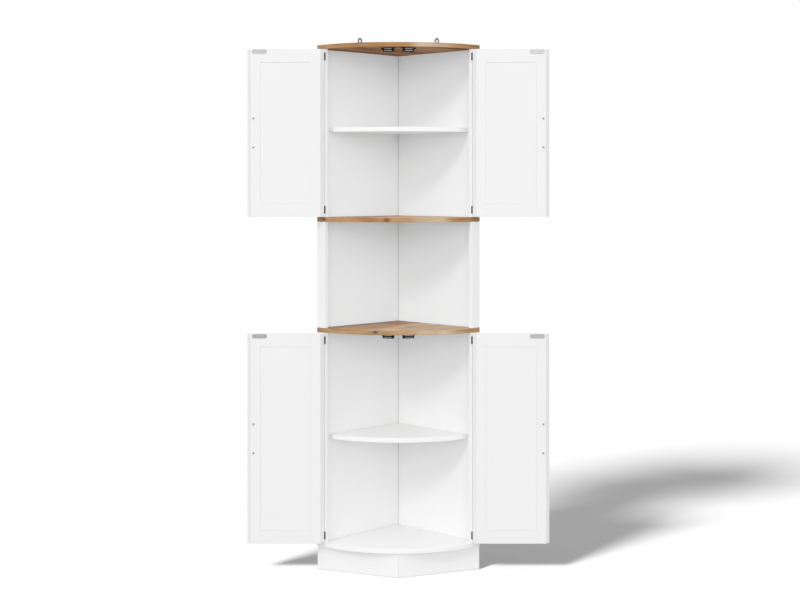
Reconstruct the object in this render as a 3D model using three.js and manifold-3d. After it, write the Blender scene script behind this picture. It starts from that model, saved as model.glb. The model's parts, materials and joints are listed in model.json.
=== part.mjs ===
// Corner cupboard with quarter-circle boards, two pairs of framed doors and an open middle tier.
// Lengths are in millimetres. X runs to the right, Y to the back corner and Z up.
// The doors stand open here, square to the front. Side -1 is the left and side 1 is the right.

import * as THREE from 'three';
import { mergeVertices } from 'three/addons/utils/BufferGeometryUtils.js';
import Module from 'manifold-3d';

const wasm = await Module();
wasm.setup();

// Heights of the carcass, from the floor up
const plinthHeight = 80;
const lowerOpening = 701;
const middleOpening = 355;
const upperOpening = 561;
const boardThickness = 15;

// Plan of the carcass: two walls at a right angle, and boards that end in a quarter circle
const wallReach = 385;
const wallThickness = 15;
const postWidth = 38;
const postThickness = 15;
const plinthThickness = 15;
const plinthRecess = 2;
const plinthAngle = Math.PI / 8;
const boardArris = 1;
const postArris = 0.8;

// Shelves: their front is as round as a board's, set back behind the closed doors
const shelfThickness = 15;
const shelfTipSetback = 25;
const shelfArcSetback = 47;
const shelfArris = 0.8;
const lowerShelfHeight = 341;
const upperShelfHeight = 285;

// Doors, which lean forward to the middle when they are closed
const doorThickness = 15;
const doorHeightGap = 1.5;
const doorHingeGap = 2;
const doorMeetingGap = 2.4;
const doorLean = THREE.MathUtils.degToRad(18.5);
const doorSquareEdge = 2.5;
const doorArris = 0.6;
const frameWidth = 44;
const rabbetLap = 8;
const jointLine = 0.6;
const panelThickness = 6;
const panelRecess = 1;

// Hinges
const hingeLength = 25;
const hingeInset = 11;
const barrelRadius = 2.5;
const pinRadius = 1.2;
const pinClearance = 0.3;
const leafThickness = 1;
const leafReach = 15;
const leafStart = 4.4;
const hingeScrewInset = 6;
const hingeScrewPlace = 10;
const hingeScrewLength = 7;
const hingeScrewRadius = 1.4;
const hingeHeadRadius = 2.4;
const hingeHeadHeight = 0.5;

// Handles
const handlePitch = 96;
const handleLength = 136;
const handleRadius = 5;
const handleStandoff = 28;
const handleEdgeDistance = 21;
const handlePostRadius = 4;
const handleScrewRadius = 2;
const handleHeadRadius = 3.6;
const handleHeadHeight = 1.8;

// Magnetic catches and their strike plates
const strikeLength = 49;
const strikeWidth = 13.8;
const strikeThickness = 1;
const strikeTopInset = 1.6;
const strikeEdgeDistance = 41;
const strikeScrewPitch = 30;
const strikeScrewRadius = 1.5;
const strikeScrewLength = 9;
const catchWidth = 37;
const catchDepth = 14;
const catchHeight = 13.5;
const catchEarSpan = 51;
const catchEarThickness = 3;
const catchScrewRadius = 1.5;
const catchScrewLength = 9;
const catchHeadRadius = 2.6;
const catchHeadHeight = 0.8;
const polePlateLength = 27;
const polePlateHeight = 3;
const polePlateProud = 0.5;
const polePlateSpacing = 6;

// Wall brackets on the top board
const bracketWidth = 22;
const bracketThickness = 1.5;
const bracketRise = 39;
const bracketFoot = 25;
const bracketPlace = 188;
const bracketHoleRadius = 4;
const bracketHoleDrop = 12;
const bracketScrewRadius = 2;
const bracketScrewLength = 11;
const bracketHeadRadius = 4;
const bracketHeadHeight = 1.6;

// Dowels, each one part of the panel that carries it
const dowelRadius = 4;
const dowelReach = 6;
const shelfDowelRadius = 3;
const shelfDowelReach = 8;
const dowelEndDistance = 70;
const shelfDowelEndDistance = 85;
const holeClearance = 0.3;

// Gaps, overrun of cuts and joins, and fineness of round forms
const seatGap = 0.3;
const overrun = 2;
const mergeTolerance = 1e-5;
const arcSteps = 32;
const barrelSides = 12;
const shankSides = 6;
const dowelSides = 8;
const headSides = 10;
const handleSides = 16;
const roundEndSteps = 10;

// Levels
const bottomBoardZ = plinthHeight;
const lowerFloorZ = bottomBoardZ + boardThickness;
const counterBoardZ = lowerFloorZ + lowerOpening;
const middleFloorZ = counterBoardZ + boardThickness;
const middleBoardZ = middleFloorZ + middleOpening;
const upperFloorZ = middleBoardZ + boardThickness;
const topBoardZ = upperFloorZ + upperOpening;
const topSurfaceZ = topBoardZ + boardThickness;

// Places in plan
const sides = { left: -1, right: 1 };
const diagonal = Math.SQRT1_2;
const cornerY = wallReach / 2;
const plinthApexY = cornerY - wallReach + plinthRecess;
const postStart = wallReach - postThickness;
const shelfTip = postStart - shelfTipSetback;
const [hingeX, hingeY] = plan(1, wallReach, postWidth);
const doorReach = (hingeX - doorMeetingGap / 2) / Math.cos(doorLean);

// Finishes
const finishes = {
  oak: { color: 0xbe9164, roughness: 0.55, metalness: 0 },
  white: { color: 0xf1f1f0, roughness: 0.45, metalness: 0 },
  black: { color: 0x1d1d1f, roughness: 0.4, metalness: 0.6 },
  plastic: { color: 0x151517, roughness: 0.5, metalness: 0 },
  steel: { color: 0xb9bbbd, roughness: 0.35, metalness: 0.9 },
};

// A point in plan, so far along a wall from the back corner and so far inward from its outer face
function plan(side, along, inward) {
  return [side * diagonal * (along - inward), cornerY - diagonal * (along + inward)];
}

// A point of an open door, from its hinge axis: along to the free edge, inward from its outer face
function doorPlan(side, along, inward) {
  return [side * along, -inward];
}

// A point of the closed door in plan, which leans forward from the hinges to the middle
function closedPlan(side, along, inward) {
  const across = hingeX - along * Math.cos(doorLean) - inward * Math.sin(doorLean);
  const back = hingeY - along * Math.sin(doorLean) + inward * Math.cos(doorLean);
  return [side * across, back];
}

function lift([x, y], z) {
  return new THREE.Vector3(x, y, z);
}

// Turns a closed geometry into a solid that can be joined and cut
function solid(geometry) {
  const bare = geometry.clone();
  bare.deleteAttribute('normal');
  bare.deleteAttribute('uv');
  const merged = mergeVertices(bare, mergeTolerance);
  const vertProperties = new Float32Array(merged.attributes.position.array);
  const triVerts = new Uint32Array(merged.index.array);
  return new wasm.Manifold(new wasm.Mesh({ numProp: 3, vertProperties, triVerts }));
}

function mesh(name, body, finish) {
  const { vertProperties, triVerts } = body.getMesh();
  const geometry = new THREE.BufferGeometry();
  geometry.setAttribute('position', new THREE.BufferAttribute(new Float32Array(vertProperties), 3));
  geometry.setIndex(new THREE.BufferAttribute(new Uint32Array(triVerts), 1));
  geometry.computeVertexNormals();
  const made = new THREE.Mesh(geometry, new THREE.MeshStandardMaterial(finishes[finish]));
  made.name = name;
  return made;
}

// An upright prism over an outline, from z = 0, with its end edges eased by an arris
function prism(points, height, arris = 0) {
  const shape = new THREE.Shape(points.map(([x, y]) => new THREE.Vector2(x, y)));
  const geometry = new THREE.ExtrudeGeometry(shape, {
    depth: height - 2 * arris,
    bevelEnabled: arris > 0,
    bevelThickness: arris,
    bevelSize: arris,
    bevelOffset: -arris,
    bevelSegments: 1,
    steps: 1,
  });
  geometry.translate(0, 0, arris);
  return solid(geometry);
}

// The outline with each corner cut back by the given length along both of its edges
function eased(points, size) {
  const toward = ([x0, y0], [x1, y1]) => {
    const length = Math.hypot(x1 - x0, y1 - y0);
    return [x0 + ((x1 - x0) * size) / length, y0 + ((y1 - y0) * size) / length];
  };
  const last = points.length - 1;
  return points.flatMap((point, i) => {
    const before = points[i === 0 ? last : i - 1];
    const after = points[i === last ? 0 : i + 1];
    return [toward(point, before), toward(point, after)];
  });
}

function block(low, high) {
  const size = new THREE.Vector3().subVectors(high, low);
  const geometry = new THREE.BoxGeometry(Math.abs(size.x), Math.abs(size.y), Math.abs(size.z));
  const middle = new THREE.Vector3().addVectors(low, high).divideScalar(2);
  geometry.translate(middle.x, middle.y, middle.z);
  return solid(geometry);
}

// A round bar between two points
function rod(start, end, radius, sideCount) {
  const span = new THREE.Vector3().subVectors(end, start);
  const geometry = new THREE.CylinderGeometry(radius, radius, span.length(), sideCount);
  const heading = span.clone().normalize();
  const turn = new THREE.Quaternion().setFromUnitVectors(THREE.Object3D.DEFAULT_UP, heading);
  const middle = new THREE.Vector3().addVectors(start, end).divideScalar(2);
  geometry.applyQuaternion(turn);
  geometry.translate(middle.x, middle.y, middle.z);
  return solid(geometry);
}

function arcPoints(centreY, radius, fromAngle, toAngle) {
  return Array.from({ length: arcSteps + 1 }, (_, i) => {
    const angle = fromAngle + ((toAngle - fromAngle) * i) / arcSteps;
    return [radius * Math.cos(angle), centreY + radius * Math.sin(angle)];
  });
}

// Dowels: where they stand in each wall, post and plinth board, seen in plan
function wallDowels(side) {
  const inward = wallThickness / 2;
  const near = wallThickness + dowelEndDistance;
  return [plan(side, near, inward), plan(side, postStart - dowelEndDistance, inward)];
}

function postDowel(side) {
  return plan(side, postStart + postThickness / 2, postWidth / 2);
}

function plinthFrontDowels(side) {
  const half = plinthThickness / 2;
  const last = plinthReach(0, 0) - dowelEndDistance;
  return [dowelEndDistance, last].map((along) => plinthFace(side, along, half));
}

function addDowels(body, places, height) {
  return places.reduce((whole, place) => {
    const root = lift(place, height - overrun);
    const tip = lift(place, height + dowelReach);
    return whole.add(rod(root, tip, dowelRadius, dowelSides));
  }, body);
}

function addFootDowels(body, places) {
  return places.reduce((whole, place) => {
    const root = lift(place, overrun);
    const tip = lift(place, -dowelReach);
    return whole.add(rod(tip, root, dowelRadius, dowelSides));
  }, body);
}

// Blind holes in a board for dowels that come from below or from above
function cutHolesBelow(board, places) {
  return places.reduce((rest, place) => {
    const top = dowelReach + holeClearance;
    const hole = rod(lift(place, -overrun), lift(place, top), dowelRadius + holeClearance, dowelSides);
    return rest.subtract(hole);
  }, board);
}

function cutHolesAbove(board, places) {
  return places.reduce((rest, place) => {
    const floor = boardThickness - dowelReach - holeClearance;
    const mouth = boardThickness + overrun;
    const hole = rod(lift(place, floor), lift(place, mouth), dowelRadius + holeClearance, dowelSides);
    return rest.subtract(hole);
  }, board);
}

// The plinth's front face runs back from its apex on the middle plane at the plinth angle
function plinthFace(side, along, inward) {
  const x = along * Math.cos(plinthAngle) - inward * Math.sin(plinthAngle);
  const back = along * Math.sin(plinthAngle) + inward * Math.cos(plinthAngle);
  return [side * x, plinthApexY + back];
}

// How far a line behind the front face runs to a plane of the wall, each at its own depth
function plinthReach(behind, inward) {
  const lost = inward / diagonal + behind * (Math.cos(plinthAngle) - Math.sin(plinthAngle));
  return (cornerY - plinthApexY - lost) / (Math.cos(plinthAngle) + Math.sin(plinthAngle));
}

function plinthFront(side) {
  const half = seatGap / 2;
  const mitre = (inward) => (half + inward * Math.sin(plinthAngle)) / Math.cos(plinthAngle);
  const outline = [
    plinthFace(side, mitre(0), 0),
    plinthFace(side, plinthReach(0, 0), 0),
    plinthFace(side, plinthReach(plinthThickness, 0), plinthThickness),
    plinthFace(side, mitre(plinthThickness), plinthThickness),
  ];
  const height = plinthHeight - seatGap;
  return addDowels(prism(outline, height), plinthFrontDowels(side), height);
}

// The plinth's back boards follow the walls and end against the front boards
function plinthBack(side) {
  const start = side < 0 ? 0 : wallThickness + seatGap;
  const behind = plinthThickness + seatGap;
  const outline = [
    plan(side, start, 0),
    plinthFace(side, plinthReach(behind, 0), behind),
    plinthFace(side, plinthReach(behind, wallThickness), behind),
    plan(side, start, wallThickness),
  ];
  const height = plinthHeight - seatGap;
  return addDowels(prism(outline, height), wallDowels(side), height);
}

// Quarter-circle board, with holes for what stands under it and on it
function quarterBoard(placesBelow, placesAbove) {
  const tipAngle = -Math.PI / 4;
  const outline = [[0, cornerY], ...arcPoints(cornerY, wallReach, tipAngle, -Math.PI - tipAngle)];
  const board = prism(outline, boardThickness, boardArris);
  return cutHolesAbove(cutHolesBelow(board, placesBelow), placesAbove);
}

// Wall panel between two boards, with holes for the dowels of a shelf
function wallPanel(side, opening, shelfMiddle) {
  const start = side < 0 ? 0 : wallThickness + seatGap;
  const height = opening - 2 * seatGap;
  const outline = [
    plan(side, start, 0),
    plan(side, postStart - seatGap, 0),
    plan(side, postStart - seatGap, wallThickness),
    plan(side, start, wallThickness),
  ];
  const places = wallDowels(side);
  const panel = addDowels(addFootDowels(prism(outline, height), places), places, height);
  if (shelfMiddle === undefined) {
    return panel;
  }
  return shelfDowelPlaces().reduce((rest, along) => {
    const depth = shelfDowelReach + holeClearance;
    const mouth = lift(plan(side, along, wallThickness + overrun), shelfMiddle - seatGap);
    const floor = lift(plan(side, along, wallThickness - depth), shelfMiddle - seatGap);
    return rest.subtract(rod(mouth, floor, shelfDowelRadius + holeClearance, dowelSides));
  }, panel);
}

function shelfDowelPlaces() {
  return [wallThickness + shelfDowelEndDistance, shelfTip - shelfDowelEndDistance];
}

// Post across the front end of a wall, cut round the hinge barrels and drilled for their screws
function post(side, opening, barrels) {
  const height = opening - 2 * seatGap;
  const corners = [
    plan(side, postStart, 0),
    plan(side, wallReach, 0),
    plan(side, wallReach, postWidth),
    plan(side, postStart, postWidth),
  ];
  const places = [postDowel(side)];
  const bar = addDowels(addFootDowels(prism(eased(corners, postArris), height), places), places, height);
  return barrels.reduce((rest, low) => {
    const start = low - seatGap;
    const axis = [side * hingeX, hingeY];
    const from = lift(axis, start - pinClearance);
    const to = lift(axis, start + hingeLength + pinClearance);
    const seat = rod(from, to, barrelRadius + pinClearance, barrelSides);
    return cutScrewHoles(rest.subtract(seat), postScrewLine(side), axis, start);
  }, bar);
}

// The screw line on a post: a point beside the hinge axis, so far outward from the post's outer face
function postScrewLine(side) {
  return (outward) => {
    const across = side * diagonal * (outward + hingeScrewPlace);
    const back = diagonal * (hingeScrewPlace - outward);
    return [across, back];
  };
}

function doorScrewLine(side) {
  return (outward) => doorPlan(side, hingeScrewPlace, -outward);
}

function screwHeights() {
  return [hingeScrewInset, hingeLength - hingeScrewInset];
}

function cutScrewHoles(body, line, [x, y], low) {
  return screwHeights().reduce((rest, height) => {
    const [mouthX, mouthY] = line(overrun);
    const [floorX, floorY] = line(-hingeScrewLength - holeClearance);
    const mouth = lift([x + mouthX, y + mouthY], low + height);
    const floor = lift([x + floorX, y + floorY], low + height);
    return rest.subtract(rod(mouth, floor, hingeScrewRadius + holeClearance, shankSides));
  }, body);
}

function hingeScrews(leaf, line) {
  return screwHeights().reduce((whole, height) => {
    const top = seatGap + leafThickness;
    const tip = lift(line(-hingeScrewLength), height);
    const neck = lift(line(top), height);
    const seat = lift(line(seatGap), height);
    const crown = lift(line(top + hingeHeadHeight), height);
    const shank = rod(tip, neck, hingeScrewRadius, shankSides);
    return whole.add(shank).add(rod(seat, crown, hingeHeadRadius, headSides));
  }, leaf);
}

// One leaf plate with its tongues to the barrel, mapped from a reach and an offset outward
function leafPlate(map, tongues) {
  const strip = (from, to) => [
    map(from, seatGap),
    map(to, seatGap),
    map(to, seatGap + leafThickness),
    map(from, seatGap + leafThickness),
  ];
  const plate = prism(strip(leafStart, leafReach), hingeLength);
  return tongues.reduce((whole, [low, high]) => {
    const tongue = prism(strip(0, leafStart + leafThickness), high - low).translate(0, 0, low);
    const knuckle = rod(lift([0, 0], low), lift([0, 0], high), barrelRadius, barrelSides);
    return whole.add(tongue).add(knuckle);
  }, plate);
}

function knuckleSplits() {
  const half = pinClearance / 2;
  const [first, second] = [hingeLength / 3, (2 * hingeLength) / 3];
  return [first - half, first + half, second - half, second + half];
}

function postLeaf(side) {
  const [endOfFirst, , , startOfLast] = knuckleSplits();
  const map = (reach, outward) => [side * diagonal * (outward + reach), diagonal * (reach - outward)];
  const leaf = leafPlate(map, [[0, endOfFirst], [startOfLast, hingeLength]]);
  const pin = rod(lift([0, 0], 0), lift([0, 0], hingeLength), pinRadius, barrelSides);
  return hingeScrews(leaf.add(pin), postScrewLine(side));
}

function doorLeaf(side) {
  const [, startOfMiddle, endOfMiddle] = knuckleSplits();
  const map = (reach, outward) => doorPlan(side, reach, -outward);
  const leaf = leafPlate(map, [[startOfMiddle, endOfMiddle]]);
  const from = lift([0, 0], -overrun);
  const to = lift([0, 0], hingeLength + overrun);
  const bore = rod(from, to, pinRadius + pinClearance, barrelSides);
  return hingeScrews(leaf, doorScrewLine(side)).subtract(bore);
}

// Shelf with a round front, tips square to the walls and dowels in both walls
function shelf() {
  const centreY = cornerY + shelfArcSetback;
  const inset = wallThickness + seatGap;
  const set = shelfArcSetback / Math.SQRT2;
  const tipInward = Math.sqrt(wallReach ** 2 - (shelfTip + set) ** 2) - set;
  const [tipX, tipY] = plan(1, shelfTip, tipInward);
  const tipAngle = Math.atan2(tipY - centreY, tipX);
  const outline = [
    plan(1, inset, inset),
    plan(1, shelfTip, inset),
    ...arcPoints(centreY, wallReach, tipAngle, -Math.PI - tipAngle),
    plan(-1, shelfTip, inset),
  ];
  const board = prism(outline, shelfThickness, shelfArris);
  return Object.values(sides).reduce((whole, side) => {
    return shelfDowelPlaces().reduce((made, along) => {
      const root = lift(plan(side, along, inset + overrun), shelfThickness / 2);
      const end = lift(plan(side, along, wallThickness - shelfDowelReach), shelfThickness / 2);
      return made.add(rod(root, end, shelfDowelRadius, dowelSides));
    }, whole);
  }, board);
}

// Door frame: stiles and rails around a rabbet that is open to the inside
function doorFrame(side, height) {
  const slope = doorThickness - doorSquareEdge;
  const at = (along, inward) => doorPlan(side, along, inward);
  const outline = [
    ...easedEdge(side, doorHingeGap, 1),
    ...easedEdge(side, doorReach, -1).reverse(),
    at(doorReach - slope, doorThickness),
    at(doorHingeGap + slope, doorThickness),
  ];
  const blank = prism(outline, height, doorArris);
  const open = frameOpening(0);
  const lapped = frameOpening(rabbetLap);
  const rabbetFloor = doorThickness - panelRecess - panelThickness - seatGap;
  const rabbet = block(
    lift(at(open.near, rabbetFloor), open.low),
    lift(at(open.far, doorThickness + overrun), height - open.low),
  );
  const window = block(
    lift(at(lapped.near, -overrun), lapped.low),
    lift(at(lapped.far, doorThickness), height - lapped.low),
  );
  const frame = blank.subtract(rabbet).subtract(window);
  return drillFrame(cutJointLines(frame, side, height), side, height);
}

// The two corners of a door edge at its outer face, with the arris between them
function easedEdge(side, along, inwardStep) {
  return [
    doorPlan(side, along, doorSquareEdge),
    doorPlan(side, along, doorArris),
    doorPlan(side, along + inwardStep * doorArris, 0),
  ];
}

function frameOpening(lap) {
  return {
    near: doorHingeGap + frameWidth + lap,
    far: doorReach - frameWidth - lap,
    low: frameWidth + lap,
  };
}

// Fine lines where the rails meet the stiles, on both faces
function cutJointLines(frame, side, height) {
  const faces = [
    { from: -overrun, to: jointLine, lap: rabbetLap },
    { from: doorThickness - jointLine, to: doorThickness + overrun, lap: 0 },
  ];
  return faces.reduce((rest, { from, to, lap }) => {
    const { near, far, low } = frameOpening(lap);
    const rails = [[-overrun, low], [height - low, height + overrun]];
    return rails.reduce((made, [start, end]) => {
      const nearLine = block(
        lift(doorPlan(side, near, from), start),
        lift(doorPlan(side, near + jointLine, to), end),
      );
      const farLine = block(
        lift(doorPlan(side, far - jointLine, from), start),
        lift(doorPlan(side, far, to), end),
      );
      return made.subtract(nearLine).subtract(farLine);
    }, rest);
  }, frame);
}

// Handle screw holes, hinge screw holes, strike screw holes and the room for the hinge barrels
function drillFrame(frame, side, height) {
  const handleHoles = handleHeights(height).reduce((rest, z) => {
    const outer = lift(doorPlan(side, handlePlace(), -overrun), z);
    const inner = lift(doorPlan(side, handlePlace(), doorThickness + overrun), z);
    return rest.subtract(rod(outer, inner, handleScrewRadius + holeClearance, headSides));
  }, frame);
  const strikeHoles = strikeScrewPlaces().reduce((rest, along) => {
    const z = strikeMiddle(height);
    const mouth = lift(doorPlan(side, along, doorThickness + overrun), z);
    const floor = lift(doorPlan(side, along, doorThickness - strikeScrewLength - holeClearance), z);
    return rest.subtract(rod(mouth, floor, strikeScrewRadius + holeClearance, shankSides));
  }, handleHoles);
  return hingeFeet(height).reduce((rest, low) => {
    const from = lift([0, 0], low - pinClearance);
    const to = lift([0, 0], low + hingeLength + pinClearance);
    const seat = rod(from, to, barrelRadius + pinClearance, barrelSides);
    return cutScrewHoles(rest.subtract(seat), doorScrewLine(side), [0, 0], low);
  }, strikeHoles);
}

function hingeFeet(height) {
  return [hingeInset, height - hingeInset - hingeLength];
}

function handlePlace() {
  return doorReach - handleEdgeDistance;
}

function handleHeights(height) {
  return [(height - handlePitch) / 2, (height + handlePitch) / 2];
}

function strikeScrewPlaces() {
  const middle = doorReach - strikeEdgeDistance;
  return [middle - strikeScrewPitch / 2, middle + strikeScrewPitch / 2];
}

function strikeMiddle(height) {
  return height - strikeTopInset - strikeWidth / 2;
}

function doorPanel(side, height) {
  const { near, far, low } = frameOpening(0);
  const inner = doorThickness - panelRecess;
  return block(
    lift(doorPlan(side, near + seatGap, inner - panelThickness), low + seatGap),
    lift(doorPlan(side, far - seatGap, inner), height - low - seatGap),
  );
}

// Round bar handle with its two feet and the screws that come through the stile
function handle(side, height) {
  const middle = height / 2;
  const axis = doorPlan(side, handlePlace(), -handleStandoff);
  const ends = [middle - handleLength / 2, middle + handleLength / 2];
  const bar = rod(lift(axis, ends[0]), lift(axis, ends[1]), handleRadius, handleSides);
  return handleHeights(height).reduce((whole, z) => {
    const foot = lift(doorPlan(side, handlePlace(), -seatGap), z);
    const inner = doorThickness + seatGap;
    const headStart = lift(doorPlan(side, handlePlace(), inner), z);
    const headEnd = lift(doorPlan(side, handlePlace(), inner + handleHeadHeight), z);
    const leg = rod(lift(axis, z), foot, handlePostRadius, headSides);
    const shank = rod(foot, headStart, handleScrewRadius, headSides);
    const root = rod(lift(axis, z), headEnd, handleScrewRadius, headSides);
    const head = rod(headStart, headEnd, handleHeadRadius, headSides);
    return whole.add(leg).add(shank).add(root).add(head);
  }, bar);
}

// Strike plate with round ends and two screws, on the inner face at the top of the free edge
function strike(side, height) {
  const inner = doorThickness + seatGap;
  const outer = inner + strikeThickness;
  const z = strikeMiddle(height);
  const middle = doorReach - strikeEdgeDistance;
  const half = (strikeLength - strikeWidth) / 2;
  const bar = block(
    lift(doorPlan(side, middle - half, inner), z - strikeWidth / 2),
    lift(doorPlan(side, middle + half, outer), z + strikeWidth / 2),
  );
  const ends = [middle - half, middle + half];
  const plate = ends.reduce((whole, along) => {
    const start = lift(doorPlan(side, along, inner), z);
    const end = lift(doorPlan(side, along, outer), z);
    return whole.add(rod(start, end, strikeWidth / 2, 2 * roundEndSteps));
  }, bar);
  return strikeScrewPlaces().reduce((whole, along) => {
    const start = lift(doorPlan(side, along, doorThickness - strikeScrewLength), z);
    const end = lift(doorPlan(side, along, outer), z);
    return whole.add(rod(start, end, strikeScrewRadius, shankSides));
  }, plate);
}

// Magnetic catch that hangs from a board and faces the strike of the closed door
function catchBody(side) {
  const front = doorThickness + seatGap + strikeThickness + seatGap + polePlateProud;
  const middle = doorReach - strikeEdgeDistance;
  const at = (along, inward) => closedPlan(side, middle + along, front + inward);
  const slab = (halfLength, from, to) => [
    at(-halfLength, from),
    at(halfLength, from),
    at(halfLength, to),
    at(-halfLength, to),
  ];
  const top = -seatGap;
  const bottom = top - catchHeight;
  const housing = prism(slab(catchWidth / 2, 0, catchDepth), catchHeight).translate(0, 0, bottom);
  const ears = prism(slab(catchEarSpan / 2, 0, catchDepth), catchEarThickness);
  const body = housing.add(ears.translate(0, 0, top - catchEarThickness));
  const levels = [-polePlateSpacing / 2, polePlateSpacing / 2];
  const poled = levels.reduce((whole, level) => {
    const plate = prism(slab(polePlateLength / 2, -polePlateProud, overrun), polePlateHeight);
    const low = (top + bottom - polePlateHeight) / 2 + level;
    return whole.add(plate.translate(0, 0, low));
  }, body);
  return catchScrewPlaces(side).reduce((whole, place) => {
    const seat = lift(place, top - catchEarThickness);
    const crown = lift(place, top - catchEarThickness - catchHeadHeight);
    const shank = rod(crown, lift(place, catchScrewLength), catchScrewRadius, shankSides);
    return whole.add(shank).add(rod(crown, seat, catchHeadRadius, headSides));
  }, poled);
}

function catchScrewPlaces(side) {
  const front = doorThickness + seatGap + strikeThickness + seatGap + polePlateProud;
  const middle = doorReach - strikeEdgeDistance;
  const out = (catchWidth + catchEarSpan) / 4;
  return [-out, out].map((along) => closedPlan(side, middle + along, front + catchDepth / 2));
}

function cutCatchHoles(board) {
  return Object.values(sides).flatMap(catchScrewPlaces).reduce((rest, place) => {
    const mouth = lift(place, -overrun);
    const floor = lift(place, catchScrewLength + holeClearance);
    return rest.subtract(rod(mouth, floor, catchScrewRadius + holeClearance, shankSides));
  }, board);
}

// Angle bracket whose foot is screwed to the top board and whose leg lies against the room's wall
function wallBracket(side) {
  const half = bracketWidth / 2;
  const roundCentre = bracketRise - half;
  const strip = (inward) => [
    plan(side, bracketPlace - half, 0),
    plan(side, bracketPlace + half, 0),
    plan(side, bracketPlace + half, inward),
    plan(side, bracketPlace - half, inward),
  ];
  const through = (radius, z, from, to) => {
    const start = lift(plan(side, bracketPlace, from), z);
    const end = lift(plan(side, bracketPlace, to), z);
    return rod(start, end, radius, 2 * roundEndSteps);
  };
  const leg = prism(strip(bracketThickness), roundCentre - seatGap).translate(0, 0, seatGap);
  const foot = prism(strip(bracketFoot), bracketThickness).translate(0, 0, seatGap);
  const tip = through(half, roundCentre, 0, bracketThickness);
  const holeZ = bracketRise - bracketHoleDrop;
  const hole = through(bracketHoleRadius, holeZ, -overrun, bracketThickness + overrun);
  const plate = leg.add(foot).add(tip).subtract(hole);
  const place = bracketScrewPlace(side);
  const crown = lift(place, seatGap + bracketThickness + bracketHeadHeight);
  const head = rod(lift(place, seatGap), crown, bracketHeadRadius, headSides);
  return plate.add(head).add(rod(lift(place, -bracketScrewLength), crown, bracketScrewRadius, shankSides));
}

function bracketScrewPlace(side) {
  return plan(side, bracketPlace, bracketThickness + (bracketFoot - bracketThickness) / 2);
}

function cutBracketHoles(board) {
  return Object.values(sides).reduce((rest, side) => {
    const place = bracketScrewPlace(side);
    const floor = lift(place, boardThickness - bracketScrewLength - holeClearance);
    const mouth = lift(place, boardThickness + overrun);
    return rest.subtract(rod(floor, mouth, bracketScrewRadius + holeClearance, shankSides));
  }, board);
}

// The tiers of the carcass. A tier with doors has hinges, catches and a shelf.
const tiers = [
  { name: 'lower', floor: lowerFloorZ, opening: lowerOpening, shelfHeight: lowerShelfHeight },
  { name: 'middle', floor: middleFloorZ, opening: middleOpening },
  { name: 'upper', floor: upperFloorZ, opening: upperOpening, shelfHeight: upperShelfHeight },
];

function raise(object, z) {
  object.position.z = z;
  return object;
}

// Sets a piece on a hinge axis
function hang(object, side, z) {
  object.position.set(side * hingeX, hingeY, z);
  return object;
}

function buildBoards() {
  const walls = Object.values(sides).flatMap(wallDowels);
  const posts = Object.values(sides).map(postDowel);
  const standing = [...walls, ...posts];
  const plinth = [...walls, ...Object.values(sides).flatMap(plinthFrontDowels)];
  const counter = cutCatchHoles(quarterBoard(standing, standing));
  const top = cutBracketHoles(cutCatchHoles(quarterBoard(standing, [])));
  return [
    raise(mesh('bottom_board', quarterBoard(plinth, standing), 'white'), bottomBoardZ),
    raise(mesh('counter_board', counter, 'oak'), counterBoardZ),
    raise(mesh('middle_board', quarterBoard(standing, standing), 'oak'), middleBoardZ),
    raise(mesh('top_board', top, 'oak'), topBoardZ),
  ];
}

function buildPlinth() {
  return Object.entries(sides).flatMap(([word, side]) => [
    mesh(`plinth_front_${word}`, plinthFront(side), 'white'),
    mesh(`plinth_back_${word}`, plinthBack(side), 'white'),
  ]);
}

// Wall, post and post leaves of one side of a tier
function buildTierSide({ name, floor, opening, shelfHeight }, word, side) {
  const hasDoor = shelfHeight !== undefined;
  const shelfMiddle = hasDoor ? shelfHeight + shelfThickness / 2 : undefined;
  const feet = hasDoor ? hingeFeet(doorHeight(opening)).map((low) => low + doorHeightGap) : [];
  const wall = mesh(`${name}_${word}_wall`, wallPanel(side, opening, shelfMiddle), 'white');
  const bar = mesh(`${name}_${word}_post`, post(side, opening, feet), 'white');
  const leaves = feet.map((low, i) => {
    const level = i === 0 ? 'low' : 'high';
    return hang(mesh(`${name}_${word}_${level}_hinge_post_leaf`, postLeaf(side), 'black'), side, floor + low);
  });
  return [raise(wall, floor + seatGap), raise(bar, floor + seatGap), ...leaves];
}

function doorHeight(opening) {
  return opening - 2 * doorHeightGap;
}

// One door, as a group at its hinge axis
function buildDoor({ name, floor, opening }, word, side) {
  const height = doorHeight(opening);
  const door = new THREE.Group();
  const title = `${name}_${word}`;
  door.add(mesh(`${title}_door_frame`, doorFrame(side, height), 'white'));
  door.add(mesh(`${title}_door_panel`, doorPanel(side, height), 'white'));
  door.add(mesh(`${title}_handle`, handle(side, height), 'black'));
  door.add(mesh(`${title}_strike_plate`, strike(side, height), 'steel'));
  hingeFeet(height).forEach((low, i) => {
    const level = i === 0 ? 'low' : 'high';
    door.add(raise(mesh(`${title}_${level}_hinge_door_leaf`, doorLeaf(side), 'black'), low));
  });
  return hang(door, side, floor + doorHeightGap);
}

function buildDoorTier(tier) {
  const board = raise(mesh(`${tier.name}_shelf`, shelf(), 'white'), tier.floor + tier.shelfHeight);
  const hung = Object.entries(sides).flatMap(([word, side]) => {
    const latch = mesh(`${tier.name}_${word}_catch`, catchBody(side), 'plastic');
    return [raise(latch, tier.floor + tier.opening), buildDoor(tier, word, side)];
  });
  return [board, ...hung];
}

function buildBrackets() {
  return Object.entries(sides).map(([word, side]) => {
    return raise(mesh(`${word}_wall_bracket`, wallBracket(side), 'steel'), topSurfaceZ);
  });
}

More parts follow.
